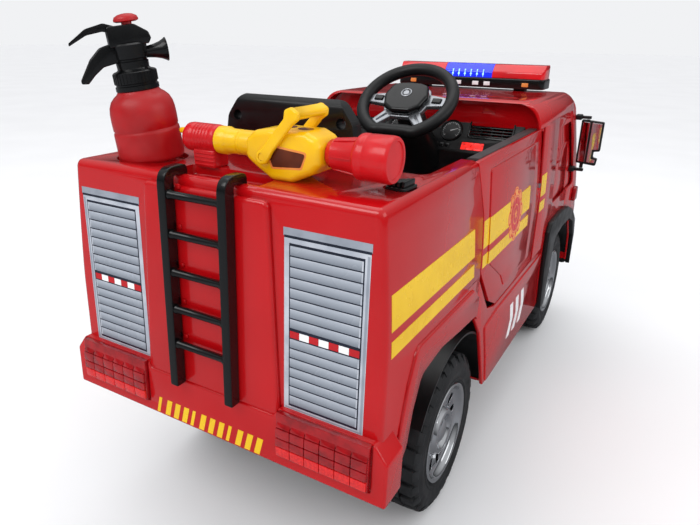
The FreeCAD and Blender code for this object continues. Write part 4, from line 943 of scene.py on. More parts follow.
def on_screen(name, outline, low, high, edge):
    """A slab lying on the slope, drawn as (distance down the slope, y)."""
    return moved(extruded(name, outline, "Z", low, high, edge, 3), screen_turn)


pane = on_screen("screen_pane", filleted([(0.016, -0.172), (0.016, 0.172), (0.222, 0.186), (0.222, -0.186)],
    16 * mm), -0.5 * mm, 2.2 * mm, 1 * mm)
fit(pane, "truck", smoked, ["windscreen"])
frame_outer = filleted([(0.010, -0.178), (0.010, 0.178), (0.228, 0.192), (0.228, -0.192)], 18 * mm)
seal = on_screen("screen_seal", frame_outer, -0.5 * mm, 1.4 * mm, 0.6 * mm)
carve(seal, on_screen("seal_hole", filleted([(0.0165, -0.1715), (0.0165, 0.1715), (0.2215, 0.1855),
    (0.2215, -0.1855)], 16 * mm), -2 * mm, 4 * mm, 0))
fit(seal, "truck", satin_black)


def tube(name, points, radius, count=14, closed=False):
    """A round bar through the given points, bent in smooth curves."""
    curve = bpy.data.curves.new(name, "CURVE")
    curve.dimensions = "3D"
    spline = curve.splines.new("BEZIER")
    spline.bezier_points.add(len(points) - 1)
    for knot, point in zip(spline.bezier_points, points):
        knot.co = point
        knot.handle_left_type = knot.handle_right_type = "AUTO"
    spline.use_cyclic_u = closed
    curve.bevel_depth = radius
    curve.bevel_resolution = count // 4
    curve.resolution_u = 10
    curve.use_fill_caps = True
    holder = bpy.data.objects.new(name, curve)
    bpy.context.scene.collection.objects.link(holder)
    bpy.context.view_layer.update()
    data = bpy.data.meshes.new_from_object(holder.evaluated_get(bpy.context.evaluated_depsgraph_get()))
    bpy.data.objects.remove(holder)
    made = bpy.data.objects.new(name, data)
    bpy.context.scene.collection.objects.link(made)
    return reshape(made, lambda work: bmesh.ops.remove_doubles(work, verts=work.verts, dist=0.01 * mm))


wipers = []
for sign in (-1, 1):
    arm = [(0.224, sign * 0.030, 2.2 * mm), (0.190, sign * 0.052, 5 * mm), (0.130, sign * 0.092, 4 * mm)]
    wipers.append(moved(tube("wiper_arm", arm, 1.6 * mm), screen_turn))
    blade = [(0.200, sign * 0.045, 2.8 * mm), (0.130, sign * 0.092, 3.2 * mm),
        (0.060, sign * 0.139, 2.8 * mm)]
    wipers.append(moved(tube("wiper_blade", blade, 1.3 * mm), screen_turn))
    pivot = lathe("wiper_pivot", [(0, 0), (5 * mm, 0), (5 * mm, 4 * mm), (3.5 * mm, 5.5 * mm),
        (0, 5.5 * mm)], 24)
    wipers.append(moved(pivot, screen_turn @ Matrix.Translation((0.224, sign * 0.030, 0))))
fit(merged("wipers", wipers), "truck", satin_black)


# Front end: black bumper with a recessed blank plate, slotted grille, clear headlamps in black
# surrounds and red marker lamps on the flanks. All are separate mouldings screwed from behind.
bumper_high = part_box("front_bumper")[1]
bar_outline = filleted([(-0.236, 0.125, 12 * mm), (0.236, 0.125, 12 * mm), (0.236, 0.212, 8 * mm),
    (-0.236, 0.212, 8 * mm)], 8 * mm)
bumper = extruded("bumper", bar_outline, "X", front_face, bumper_high.x, 5 * mm, 4)
carve(bumper, extruded("plate_recess", filleted(oblong(-0.070, 0.070, 0.150, 0.186), 4 * mm), "X",
    front_face + 8 * mm, 0.62, 0.8 * mm))
for sign in (-1, 1):
    fog = filleted([(sign * 0.120, 0.150), (sign * 0.200, 0.150), (sign * 0.210, 0.188),
        (sign * 0.120, 0.188)], 8 * mm)
    carve(bumper, extruded("fog_recess", fog, "X", front_face + 6 * mm, 0.62, 0.8 * mm))
grille = extruded("grille", filleted([(-0.112, 0.211), (0.112, 0.211), (0.108, 0.284), (-0.108, 0.284)],
    8 * mm), "X", front_face, front_face + 7 * mm, 2 * mm, 3)
for index in range(4):
    z = 0.222 + 14 * mm * index
    slot_outline = filleted(oblong(-0.100, 0.100, z, z + 8 * mm), 3.5 * mm)
    carve(grille, extruded("slot", slot_outline, "X", front_face + 2.5 * mm, 0.62, 0.5 * mm, 1))
fit(merged("bumper_and_grille", [bumper, grille]), "truck", satin_black, ["front_bumper"])

chrome, chrome_tree, chrome_shader = surface("vacuum_metallised_abs", "#D6D8DB", 0.09, 1.0)
vary(chrome_tree, chrome_shader, "Roughness", 0.05, 0.14, 12 * mm)
grain(chrome_tree, chrome_shader, 4 * mm, 0.03 * mm)
clear_lens, clear_tree, clear_shader = surface("clear_styrene_lens", "#E9EEF2", 0.05, IOR=1.59)
clear_shader.inputs["Transmission Weight"].default_value = 0.85
vary(clear_tree, clear_shader, "Roughness", 0.03, 0.08, 10 * mm)
grain(clear_tree, clear_shader, 3 * mm, 0.05 * mm)
for side, sign in (("right", -1), ("left", 1)):
    shape = filleted([(sign * 0.120, 0.216), (sign * 0.2095, 0.216), (sign * 0.2095, 0.270),
        (sign * 0.190, 0.282), (sign * 0.120, 0.282)], 9 * mm)
    lens = extruded(f"headlamp_lens_{side}", shape, "X", front_face + 2 * mm, front_face + 8 * mm, 2 * mm, 3)
    fit(lens, "truck", clear_lens, ["headlamps"])
    bowls = []
    for y in (0.142, 0.184):
        bowl = lathe("bowl", [(0, -1 * mm), (12 * mm, 0.6 * mm), (16 * mm, 1.6 * mm), (17 * mm, 1.6 * mm),
            (17 * mm, -2 * mm), (0, -2 * mm)], 32)
        bowls.append(moved(bowl, aimed((front_face + 0.2 * mm, sign * y, 0.246), (1, 0, 0))))
    fit(merged(f"headlamp_bowls_{side}", bowls), "truck", chrome)
    low_y, high_y = sorted((sign * (waist_half - 0.5 * mm), sign * (waist_half + 9 * mm)))
    marker = extruded(f"marker_{side}", filleted([(0.5055, 0.3185), (0.5395, 0.3185), (0.5340, 0.3525),
        (0.5100, 0.3525)], 5 * mm), "Y", low_y, high_y, 3 * mm, 3)
    fit(marker, "truck", clear_red, ["marker_lamps"])


# Front arch flares: black PP mouldings clipped round the arch, with a soft rolled outer edge.
flare_line = filleted([(0.241, 0.130, 0), (0.222, 0.231), (0.222, 0.312), (0.240, 0.330), (0.345, 0.332),
    (0.420, 0.326), (0.495, 0.304), (0.566, 0.262), (0.590, 0.215), (0.592, 0.130, 0)], 14 * mm)
for side, sign in (("right", -1), ("left", 1)):
    edges = sorted((sign * (waist_half - 0.5 * mm), sign * (waist_half + 10 * mm)))
    flare = extruded(f"flare_{side}", flare_line, "Y", edges[0], edges[1])
    edges = sorted((sign * (waist_half - 8 * mm), sign * (waist_half + 14 * mm)))
    carve(flare, extruded("flare_way", front_arch_line, "Y", edges[0], edges[1]))
    fit(flare, "truck", satin_black, [f"front_flare_{side}"], 38, 3.2 * mm)


# Tyres: blow-moulded black plastic with a chunky block tread. Outer and inner blocks alternate and the
# outer ones wrap the shoulder; the sidewall has two raised rings.
tyre_black, tyre_tree, tyre_shader = surface("moulded_black_eva", "#0F1011", 0.5, IOR=1.5)
vary(tyre_tree, tyre_shader, "Roughness", 0.45, 0.65, 20 * mm)
vary(tyre_tree, tyre_shader, "Base Color", "#17181A", "#222325", 50 * mm)
grain(tyre_tree, tyre_shader, 0.8 * mm, 0.04 * mm)
wheel_places = {}
for end in ("rear", "front"):
    for side, sign in (("right", -1), ("left", 1)):
        low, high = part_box(f"tyre_{end}_{side}")
        wheel_places[(end, side)] = (Vector((low + high) / 2), sign)
tyre_radius = 125 * mm
tyre_half = 44 * mm


def tread_block(y0, y1, skew, radius, depth, width, wrap):
    """One tread block about the +X direction of a wheel whose axle is Z; wrap folds it over the edge."""
    points = []
    for y, shift, drop in ((y0, 0, 0), (y1, skew, wrap)):
        for across in (-width / 2, width / 2):
            angle = (across + shift) / radius
            for reach in (radius - depth, radius - drop):
                points.append((reach * math.cos(angle), reach * math.sin(angle), y))
    faces = [(0, 1, 3, 2), (4, 6, 7, 5), (0, 2, 6, 4), (1, 5, 7, 3), (0, 4, 5, 1), (2, 3, 7, 6)]
    return reshape(new_piece("block", points, faces), lambda work: None)


def make_tyre(name):
    shoulder, half = tyre_radius - 6 * mm, tyre_half
    edge = [(79.5 * mm, half - 6 * mm), (84 * mm, half - 1.5 * mm), (87 * mm, half - 1.2 * mm),
        (88 * mm, half - 2.2 * mm), (97 * mm, half - 0.8 * mm), (99 * mm, half), (103 * mm, half),
        (105 * mm, half - 1 * mm), (112 * mm, half - 2.5 * mm), (shoulder - 2 * mm, half - 6 * mm),
        (shoulder, half - 12 * mm)]
    profile = edge + [(r, -z) for r, z in reversed(edge)] + [(79.5 * mm, -(half - 8 * mm))]
    carcass = lathe(name, profile, 72)
    blocks = []
    count = 26
    for i in range(count):
        for sign in (-1, 1):
            turn = Matrix.Rotation(2 * math.pi * (i + (0.5 if sign < 0 else 0)) / count, 4, "Z")
            pitch = 2 * math.pi * tyre_radius / count
            outer = tread_block(sign * 17.5 * mm, sign * 36 * mm, 3.5 * mm, tyre_radius, 9 * mm,
                pitch * 0.68, 1.2 * mm)
            wrap = tread_block(sign * 36 * mm, sign * 41.8 * mm, 1 * mm, tyre_radius - 1.2 * mm, 15 * mm,
                pitch * 0.60, 10 * mm)
            moved(wrap, Matrix.Rotation(3.5 * mm / tyre_radius, 4, "Z"))
            inner = tread_block(sign * 1.2 * mm, sign * 15.5 * mm, 5 * mm, tyre_radius, 9 * mm,
                pitch * 0.62, 0)
            moved(inner, Matrix.Rotation(math.pi / count, 4, "Z"))
            for block in (outer, wrap, inner):
                blocks.append(moved(block, turn))
    tread = soften(merged("tread", blocks), 0.9 * mm, 2, 40)
    return merged(name, [carcass, tread])


for (end, side), (centre, sign) in wheel_places.items():
    tyre = moved(make_tyre(f"tyre_{end}_{side}"), aimed(centre, (0, sign, 0)))
    fit(tyre, f"wheel_{end}_{side}", tyre_black, [f"tyre_{end}_{side}"], 30)


# Rims: vacuum-metallised ABS discs with twelve oval slots, a raised hub ring and a plain domed cap.
# A black drum behind the slots is part of the same wheel.
def make_rim(name):
    profile = [(6.4, 29), (25, 29), (25.6, 32), (28, 37.2), (30, 38), (33, 38), (35, 37), (37.5, 32),
        (40, 29.6), (48, 28.6), (60, 29.4), (67, 31.6), (70, 35), (71.4, 39), (73, 41.4), (75.5, 42.4),
        (78, 42), (79.4, 40), (79.4, -36), (76.5, -36), (76.5, 27), (66, 25.5), (48, 24.4), (24, 22.5),
        (6.4, 22.5)]
    disc_piece = lathe(name, [(r * mm, z * mm) for r, z in profile], 96)
    cutters = []
    for i in range(12):
        oval = filleted([(45 * mm, -4.6 * mm), (64.5 * mm, -6.6 * mm), (64.5 * mm, 6.6 * mm),
            (45 * mm, 4.6 * mm)], 6 * mm, 6)
        cutters.append(moved(extruded("oval", oval, "Z", 15 * mm, 45 * mm),
            Matrix.Rotation(math.pi * i / 6, 4, "Z")))
    carve(disc_piece, merged("ovals", cutters))
    soften(disc_piece, 0.9 * mm, 3, 50)
    details = [lathe("cap", [(0, 38.5 * mm), (8 * mm, 38 * mm), (15 * mm, 36 * mm), (20 * mm, 33 * mm),
        (22.5 * mm, 30 * mm), (22.5 * mm, 28.5 * mm), (0, 28.5 * mm)], 48)]
    for i in range(6):
        nut = lathe("nut", [(0, 0), (2.6 * mm, 0), (2.6 * mm, 2.2 * mm), (1.6 * mm, 3 * mm), (0, 3 * mm)], 6)
        angle = math.pi * (i + 0.5) / 3
        details.append(moved(nut, Matrix.Translation((41 * mm * math.cos(angle), 41 * mm * math.sin(angle),
            29 * mm))))
    return merged(name, [disc_piece] + details)


for (end, side), (centre, sign) in wheel_places.items():
    rim = moved(make_rim(f"rim_{end}_{side}"), aimed(centre, (0, sign, 0), 0.12))
    fit(rim, f"wheel_{end}_{side}", chrome, [f"rim_{end}_{side}"], 35)
    drum = lathe("drum", [(8 * mm, 8 * mm), (72 * mm, 10 * mm), (76 * mm, 10 * mm), (76 * mm, -34 * mm),
        (60 * mm, -34 * mm), (60 * mm, 2 * mm), (8 * mm, 0)], 64)
    fit(moved(drum, aimed(centre, (0, sign, 0))), f"wheel_{end}_{side}", satin_black)


# Dashboard: black grained PP moulding across the cockpit, with louvred vents, a round gauge, a lit
# display, a power button and a rocker. Small parts snap in from the front.
dash_low, dash_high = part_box("dashboard")
dash_profile = filleted([(0.110, 0.551, 9 * mm), (0.072, 0.488, 8 * mm), (0.080, 0.400, 12 * mm),
    (0.096, 0.336, 0), (0.182, 0.336, 0), (0.182, 0.551, 0)], 8 * mm, 6)
dash_inside = [(0.114, 0.546), (0.078, 0.486), (0.086, 0.402), (0.100, 0.330), (0.190, 0.330), (0.190, 0.546)]
helm_tilt = math.radians(39.24)
helm_centre = Vector((-0.008, 0, 0.586))
helm_turn = Matrix.Translation(helm_centre) @ Matrix.Rotation(-helm_tilt, 4, "Y")
dash = extruded("dash", dash_profile, "Y", dash_low.y, dash_high.y, 1.5 * mm, 3)
carve(dash, extruded("dash_inside", dash_inside, "Y", dash_low.y + 5 * mm, dash_high.y - 5 * mm))
slope_up = Vector((0.038, 0, 0.063)).normalized()
slope_out = Vector((-slope_up.z, 0, slope_up.x))
dash_turn = Matrix((slope_up, (0, 1, 0), slope_out)).transposed().to_4x4()
dash_turn.translation = Vector((0.091, 0, 0.5195))


def on_dash(name, outline, low, high, edge=0.0, steps=2):
    """A slab on the sloping face of the dashboard, drawn as (up the face, y)."""
    return moved(extruded(name, outline, "Z", low, high, edge, steps), dash_turn)


carve(dash, moved(lathe("column_way", oblong(0, 16 * mm, -0.3, 0), 40),
    helm_turn @ Matrix.Translation((0, 0, -20 * mm))))
button_low, button_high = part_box("power_button")
button_y, button_z = (button_low.y + button_high.y) / 2, (button_low.z + button_high.z) / 2
carve(dash, moved(lathe("button_way", oblong(0, 7.5 * mm, -0.06, 0.06), 32),
    aimed((0.08, button_y, button_z), (1, 0, 0))), extruded("rocker_way",
    oblong(-0.112, -0.088, 0.446, 0.462), "X", 0.06, 0.096))
for sign in (-1, 1):
    mouth = filleted([(-0.004, sign * 0.092), (-0.004, sign * 0.174), (0.034, sign * 0.174),
        (0.034, sign * 0.092)], 4 * mm)
    carve(dash, on_dash("vent_way", mouth, -9 * mm, 20 * mm))
carve(dash, on_dash("display_way", filleted([(-0.031, -0.126), (-0.031, -0.082), (-0.015, -0.082),
    (-0.015, -0.126)], 2 * mm), -2.0 * mm, 20 * mm))
fit(dash, "truck", satin_black, ["dashboard"], 38, 0.5 * mm)

louvres = []
for sign in (-1, 1):
    for index in range(6):
        up = -0.001 + index * 6.2 * mm
        blade = [(up, sign * 0.0925), (up, sign * 0.1735), (up + 2.2 * mm, sign * 0.1735),
            (up + 2.2 * mm, sign * 0.0925)]
        louvres.append(on_dash("louvre", blade, -8 * mm, -1.2 * mm, 0.5 * mm))
    for across in (0.112, 0.133, 0.154):
        spine = [(-0.003, sign * across), (-0.003, sign * (across + 1.6 * mm)),
            (0.033, sign * (across + 1.6 * mm)), (0.033, sign * across)]
        louvres.append(on_dash("vent_spine", spine, -8.8 * mm, -5 * mm))
    lip_outer = filleted([(-0.0065, sign * 0.0895), (-0.0065, sign * 0.1765), (0.0365, sign * 0.1765),
        (0.0365, sign * 0.0895)], 6 * mm)
    lip_inner = filleted([(-0.0035, sign * 0.0925), (-0.0035, sign * 0.1735), (0.0335, sign * 0.1735),
        (0.0335, sign * 0.0925)], 4 * mm)
    rim_piece = on_dash("vent_lip", lip_outer, -0.5 * mm, 1.6 * mm, 0.7 * mm)
    louvres.append(carve(rim_piece, on_dash("vent_lip_way", lip_inner, -5 * mm, 6 * mm)))
fit(merged("dash_vents", louvres), "truck", glossy_black)

dial_black, dial_tree, dial_shader = surface("printed_dial_card", "#141516", 0.35)
vary(dial_tree, dial_shader, "Base Color", "#101112", "#1A1B1D", 8 * mm)
grain(dial_tree, dial_shader, 2 * mm, 0.02 * mm)
silver_paint, silver_tree, silver_shader = surface("silver_painted_abs", "#B4B7BC", 0.3, 0.85)
vary(silver_tree, silver_shader, "Roughness", 0.24, 0.38, 8 * mm)
grain(silver_tree, silver_shader, 0.6 * mm, 0.015 * mm)
for gauge_y in (-0.056, 0.056):
    centre = dash_turn @ Matrix.Translation((6 * mm, gauge_y, 0))
    bezel = lathe("bezel", [(19 * mm, -1 * mm), (22.5 * mm, -1 * mm), (22.5 * mm, 1.5 * mm),
        (21 * mm, 3.2 * mm), (19 * mm, 2.4 * mm)], 48)
    face = lathe("face", oblong(0, 19.2 * mm, -0.5 * mm, 1 * mm), 48)
    fit(moved(merged("dial_bezel", [bezel]), centre), "truck", glossy_black)
    fit(moved(face, centre), "truck", dial_black)
    marks = []
    for index in range(21):
        angle = math.radians(-130 + 13 * index)
        long = 3.4 * mm if index % 4 == 0 else 1.8 * mm
        mark = extruded("mark", oblong(17.2 * mm - long, 17.2 * mm, -0.35 * mm, 0.35 * mm), "Z", 0.9 * mm,
            1.15 * mm)
        marks.append(moved(mark, Matrix.Rotation(angle, 4, "Z")))
    hand = extruded("hand", [(-2 * mm, -0.8 * mm), (13 * mm, -0.3 * mm), (13 * mm, 0.3 * mm),
        (-2 * mm, 0.8 * mm)], "Z", 1.2 * mm, 1.6 * mm)
    marks.append(moved(hand, Matrix.Rotation(math.radians(-70), 4, "Z")))
    fit(moved(merged("dial_marks", marks), centre), "truck", white_film)

lit_red, lit_tree, lit_shader = surface("lit_red_display", "#5A0A0E", 0.2)
lit_shader.inputs["Emission Color"].default_value = paint("#FF2A22")
vary(lit_tree, lit_shader, "Emission Strength", 0.5, 1.6, 5 * mm)
grain(lit_tree, lit_shader, 3 * mm, 0.02 * mm)
display = on_dash("display", filleted([(-0.0305, -0.1255), (-0.0305, -0.0825), (-0.0155, -0.0825),
    (-0.0155, -0.1255)], 1.5 * mm), -1.9 * mm, -0.4 * mm, 0.4 * mm)
fit(display, "truck", lit_red)
keys = []
for index in range(3):
    key_y = -0.060 + index * 12 * mm
    keys.append(on_dash("key", filleted([(-0.029, key_y), (-0.029, key_y + 9 * mm),
        (-0.021, key_y + 9 * mm), (-0.021, key_y)], 2 * mm), -0.5 * mm, 1.4 * mm, 0.5 * mm))
fit(merged("dash_keys", keys), "truck", glossy_black)

power = lathe("power_cap", [(0, 0), (5.8 * mm, 0), (6.6 * mm, 1 * mm), (6.6 * mm, 16 * mm), (0, 16 * mm)], 36)
fit(moved(power, aimed((button_low.x, button_y, button_z), (1, 0, 0))), "power", glossy_black,
    ["power_button"])
rocker_side = filleted([(0.0715, 0.4485, 1 * mm), (0.0925, 0.4490, 1 * mm), (0.0925, 0.4590, 1 * mm),
    (0.0715, 0.4595, 1 * mm), (0.0735, 0.4540, 6 * mm)], mm, 4)
rocker = extruded("rocker_cap", rocker_side, "Y", -0.110, -0.090, 0.8 * mm, 2)
fit(rocker, "rocker", glossy_black, ["direction_rocker"])


# Steering wheel: soft-touch black rim with a leather grain over a rigid ring, silver painted spokes,
# a shield-shaped hub pad with a plain ring, and two push buttons. The hub is screwed to the column.
rim_leather, leather_tree, leather_shader = surface("leather_grain_pvc", "#0C0D0E", 0.36, IOR=1.52)
vary(leather_tree, leather_shader, "Roughness", 0.36, 0.50, 20 * mm)
grain(leather_tree, leather_shader, 1.6 * mm, 0.12 * mm)
path = []
for index in range(40):
    angle = 2 * math.pi * index / 40
    up, across = 84 * mm * math.cos(angle), 84 * mm * math.sin(angle)
    path.append((max(up, -75 * mm - 4 * mm * math.cos(angle * 3) * 0.3), across, 0))
wheel_rim = tube("wheel_rim", path, 11.6 * mm, 28, True)
fit(moved(wheel_rim, helm_turn), "helm", rim_leather, ["steering_rim"], 60)

shield = [(29, -35), (35, -20), (36.5, 0), (35, 20), (29, 35), (2, 43), (-25, 35), (-38, 17), (-38, -17),
    (-25, -35), (2, -43)]
plate = extruded("spoke_plate", filleted([(a * 1.06 * mm, b * 1.06 * mm) for a, b in shield], 12 * mm), "Z",
    -9 * mm, 0.5 * mm, 2 * mm, 3)
arms = []
for sign in (-1, 1):
    arms.append(extruded("arm", filleted([(-12 * mm, sign * 34 * mm), (-7 * mm, sign * 75 * mm),
        (13 * mm, sign * 75 * mm), (20 * mm, sign * 34 * mm)], 3 * mm), "Z", -9 * mm, 0.8 * mm, 2 * mm, 3))
    low_arm = extruded("low_arm", filleted([(-20 * mm, -13 * mm), (-72.5 * mm, -8.5 * mm),
        (-72.5 * mm, 8.5 * mm), (-20 * mm, 13 * mm)], 3 * mm), "Z", -8.6 * mm, 0.8 * mm, 2 * mm, 3)
    carve(low_arm, extruded("arm_slot", filleted([(-44 * mm, -3 * mm), (-68 * mm, -2.4 * mm),
        (-68 * mm, 2.4 * mm), (-44 * mm, 3 * mm)], 2 * mm), "Z", -3 * mm, 5 * mm))
    arms.append(moved(low_arm, Matrix.Rotation(math.radians(38) * sign, 4, "Z")))
for arm in arms:
    weld(plate, arm)
for sign in (-1, 1):
    edges = sorted((sign * 47.5 * mm, sign * 66.5 * mm))
    carve(plate, extruded("pad_way", filleted([(-3.2 * mm, edges[0]), (-3.2 * mm, edges[1]),
        (9.2 * mm, edges[1]), (9.2 * mm, edges[0])], 2 * mm), "Z", -5 * mm, 5 * mm))
fit(moved(plate, helm_turn), "helm", silver_paint, ["steering_spokes"], 38)
hub = extruded("hub_pad", filleted([(a * mm, b * mm) for a, b in shield], 13 * mm, 7), "Z", 0.6 * mm,
    15 * mm, 6.5 * mm, 6)
fit(moved(hub, helm_turn), "helm", glossy_black, ["steering_hub_pad"], 50)
ring = lathe("ring", [(7.6 * mm, 14.6 * mm), (10.4 * mm, 14.6 * mm), (10.2 * mm, 16 * mm),
    (9 * mm, 16.5 * mm), (7.8 * mm, 16 * mm)], 40)
boss = lathe("boss", [(0, 14.6 * mm), (6.2 * mm, 14.6 * mm), (5.2 * mm, 15.9 * mm), (0, 16.2 * mm)], 40)
ornament = moved(merged("hub_ring", [ring, boss]), helm_turn @ Matrix.Translation((6 * mm, 0, 0)))
fit(ornament, "helm", silver_paint)
for side, sign in (("right", -1), ("left", 1)):
    edges = sorted((sign * 48.5 * mm, sign * 65.5 * mm))
    cap = extruded(f"horn_cap_{side}", filleted([(-2.4 * mm, edges[0]), (-2.4 * mm, edges[1]),
        (8.4 * mm, edges[1]), (8.4 * mm, edges[0])], 2 * mm), "Z", -2.5 * mm, 3.8 * mm, 1.2 * mm, 3)
    fit(moved(cap, helm_turn), f"horn_{side}", glossy_black, [f"horn_button_{side}"])
shroud = lathe("column_shroud", [(11 * mm, -34 * mm), (21 * mm, -34 * mm), (26 * mm, -42 * mm),
    (31 * mm, -95 * mm), (40 * mm, -132 * mm), (46 * mm, -150 * mm), (11 * mm, -150 * mm)], 48)
fit(moved(shroud, helm_turn), "truck", satin_black)
sleeve = lathe("column_sleeve", [(9.5 * mm, -30 * mm), (9.5 * mm, -9 * mm), (24 * mm, -9 * mm),
    (19 * mm, -22 * mm), (16 * mm, -30 * mm)], 40)
fit(moved(sleeve, helm_turn), "helm", satin_black)


# Seat: black blow-moulded PP in two pieces, a scooped pan with a rolled front and a curved back with
# bolt holes. Both are screwed to the floor pan and the bulkhead.
pan_low, pan_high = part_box("seat_pan")
seat_side = filleted([(pan_low.x, pan_low.z, 0), (pan_high.x, pan_low.z, 4 * mm),
    (pan_high.x, 0.286, 12 * mm), (-0.138, 0.300, 14 * mm), (-0.200, 0.296, 30 * mm),
    (-0.280, 0.286, 40 * mm), (pan_low.x, 0.293, 4 * mm)], 10 * mm, 6)
seat = extruded("seat", seat_side, "Y", pan_low.y, pan_high.y, 7 * mm, 5)
scoop = moved(lathe("scoop", [(0, 0.4), (0.095, 0.4), (0.112, 0.02), (0.104, 0.004), (0.070, 0), (0, 0)],
    64), Matrix.Translation((-0.262, 0, 0.2835)))
carve(seat, scoop)
for index in range(5):
    y = -0.048 + 24 * mm * index
    carve(seat, extruded("seat_groove", filleted(oblong(-0.330, -0.190, y - 1.5 * mm, y + 1.5 * mm),
        1.4 * mm), "Z", 0.2815, 0.30))
carve(seat, extruded("seat_inside", oblong(pan_low.x + 5 * mm, pan_high.x - 5 * mm, 0.15, 0.272), "Y",
    pan_low.y + 5 * mm, pan_high.y - 5 * mm))
fit(seat, "truck", satin_black, ["seat_pan"], 38)

back_side = filleted([(-0.3825, 0.296, 0), (-0.4095, 0.296, 0), (-0.4112, 0.552), (-0.4112, 0.617),
    (-0.402, 0.6235), (-0.390, 0.620), (-0.384, 0.534)], 9 * mm, 6)
back_front = filleted([(-0.116, 0.290, 6 * mm), (0.116, 0.290, 6 * mm), (0.1085, 0.520), (0.098, 0.594),
    (0.076, 0.6245), (-0.076, 0.6245), (-0.098, 0.594), (-0.1085, 0.520)], 22 * mm, 7)
seat_back = extruded("seat_back_piece", back_side, "Y", -0.13, 0.13)
shared(seat_back, extruded("back_front", back_front, "X", -0.45, -0.35))
soften(seat_back, 5 * mm, 4, 55)
panel_groove = filleted([(-0.084, 0.320), (0.084, 0.320), (0.080, 0.520), (0.060, 0.572), (-0.060, 0.572),
    (-0.080, 0.520)], 18 * mm)
inner_groove = [(a * 0.955, 0.4475 + (b - 0.4475) * 0.965) for a, b in panel_groove]
groove_ring = extruded("groove_ring", panel_groove, "X", -0.392, -0.35)
carve(groove_ring, extruded("groove_core", inner_groove, "X", -0.40, -0.34))
carve(seat_back, groove_ring)
rear_ring = extruded("rear_ring", panel_groove, "X", -0.43, -0.4085)
carve(rear_ring, extruded("rear_core", inner_groove, "X", -0.44, -0.40))
carve(seat_back, rear_ring)
for sign in (-1, 1):
    hole = lathe("hole", oblong(0, 7 * mm, -0.05, 0.05), 32)
    carve(seat_back, moved(hole, aimed((-0.395, sign * 0.082, 0.594), (1, 0, 0))))
fit(seat_back, "truck", satin_black, ["seat_back"], 38, 0.6 * mm)


# Accelerator: black PP pedal with tread ribs, on a pin between two ears of the floor pan.
pedal_plate = filleted([(0.2345, 0.1560), (0.2420, 0.1525), (0.2920, 0.2060), (0.2865, 0.2115)], 2.4 * mm)
treads = [extruded("pedal_plate", pedal_plate, "Y", -0.078, -0.036, 1.6 * mm, 2)]
along = Vector((0.050, 0, 0.0545)).normalized()
for index in range(6):
    foot = Vector((0.2425, 0, 0.1655)) + along * (8 * mm * index)
    rib_line = [(foot.x, -0.073, foot.z), (foot.x, -0.057, foot.z), (foot.x, -0.041, foot.z)]
    treads.append(tube("tread_rib", rib_line, 1.4 * mm, 10))
treads.append(moved(lathe("pedal_boss", [(0, -0.021), (6.5 * mm, -0.021), (7 * mm, -0.020), (7 * mm, 0.020),
    (6.5 * mm, 0.021), (0, 0.021)], 32), aimed((0.238, -0.057, 0.160), (0, 1, 0))))
treads.append(moved(lathe("pedal_pin", oblong(0, 3 * mm, -0.028, 0.028), 24),
    aimed((0.238, -0.057, 0.160), (0, 1, 0))))
fit(merged("pedal", treads), "pedal", satin_black, ["accelerator_pedal"])


# Light bar: black tray with clip-on lenses, lit blue in the middle and red at both ends. Small clear
# and amber windows sit in the tray.
tray_low, tray_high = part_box("light_bar_base")
lens_low, lens_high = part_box("light_bar_blue")
red_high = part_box("light_bar_red")[1]
tray_plan = filleted([(tray_low.x, tray_low.y, 14 * mm), (tray_low.x, tray_high.y, 14 * mm),
    (tray_high.x, tray_high.y, 14 * mm), (tray_high.x, tray_low.y, 14 * mm)], 14 * mm, 7)
tray = extruded("tray", tray_plan, "Z", 0.5915, lens_low.z - 0.2 * mm, 2.5 * mm, 4)
for sign in (-1, 1):
    foot = filleted(oblong(0.354, 0.386, sign * 0.101, sign * 0.125), 4 * mm)
    weld(tray, extruded("foot", foot, "Z", 0.5865, 0.5925, 0.8 * mm, 2))
fit(tray, "truck", glossy_black, ["light_bar_base"], 40)
windows, ambers = [], []
for y in (-0.046, -0.020, 0.020, 0.046):
    outline = filleted(oblong(y - 7 * mm, y + 7 * mm, 0.5965, 0.6050), 1 * mm)
    windows.append(extruded("window_lamp", outline, "X", tray_low.x - 0.5 * mm, tray_low.x + 2 * mm,
        0.4 * mm, 2))
for y in (-0.130, 0.130):
    outline = filleted(oblong(y - 7 * mm, y + 7 * mm, 0.5965, 0.6050), 1 * mm)
    ambers.append(extruded("amber_lamp", outline, "X", tray_low.x - 0.5 * mm, tray_low.x + 2 * mm, 0.4 * mm,
        2))
fit(merged("tray_windows", windows), "truck", white_film)
fit(merged("tray_ambers", ambers), "truck", badge_orange)

lens_section = filleted([(lens_low.x, lens_low.z, 2 * mm), (lens_high.x, lens_low.z, 2 * mm),
    (lens_high.x - 2 * mm, lens_low.z + 13 * mm, 8 * mm), (0.387, lens_high.z, 10 * mm),
    (0.353, lens_high.z, 10 * mm), (lens_low.x + 2 * mm, lens_low.z + 13 * mm, 8 * mm)], 4 * mm, 6)
lit_blue, blue_tree, blue_shader = surface("lit_blue_styrene", "#0A22D8", 0.08, IOR=1.59)
blue_shader.inputs["Coat Weight"].default_value = 0.8
blue_shader.inputs["Emission Color"].default_value = paint("#0C2CFF")
vary(blue_tree, blue_shader, "Emission Strength", 0.35, 1.1, 22 * mm)
grain(blue_tree, blue_shader, 4 * mm, 0.03 * mm)
glow_white, glow_tree, glow_shader = surface("led_diffuser", "#9CC4FF", 0.3)
glow_shader.inputs["Emission Color"].default_value = paint("#7FB4FF")
vary(glow_tree, glow_shader, "Emission Strength", 0.8, 2.6, 5 * mm)
bar_red, bar_tree, bar_shader = surface("lit_red_styrene", "#C40D18", 0.08, IOR=1.59)
bar_shader.inputs["Coat Weight"].default_value = 0.8
bar_shader.inputs["Emission Color"].default_value = paint("#E00A14")
vary(bar_tree, bar_shader, "Emission Strength", 0.0, 0.28, 60 * mm)
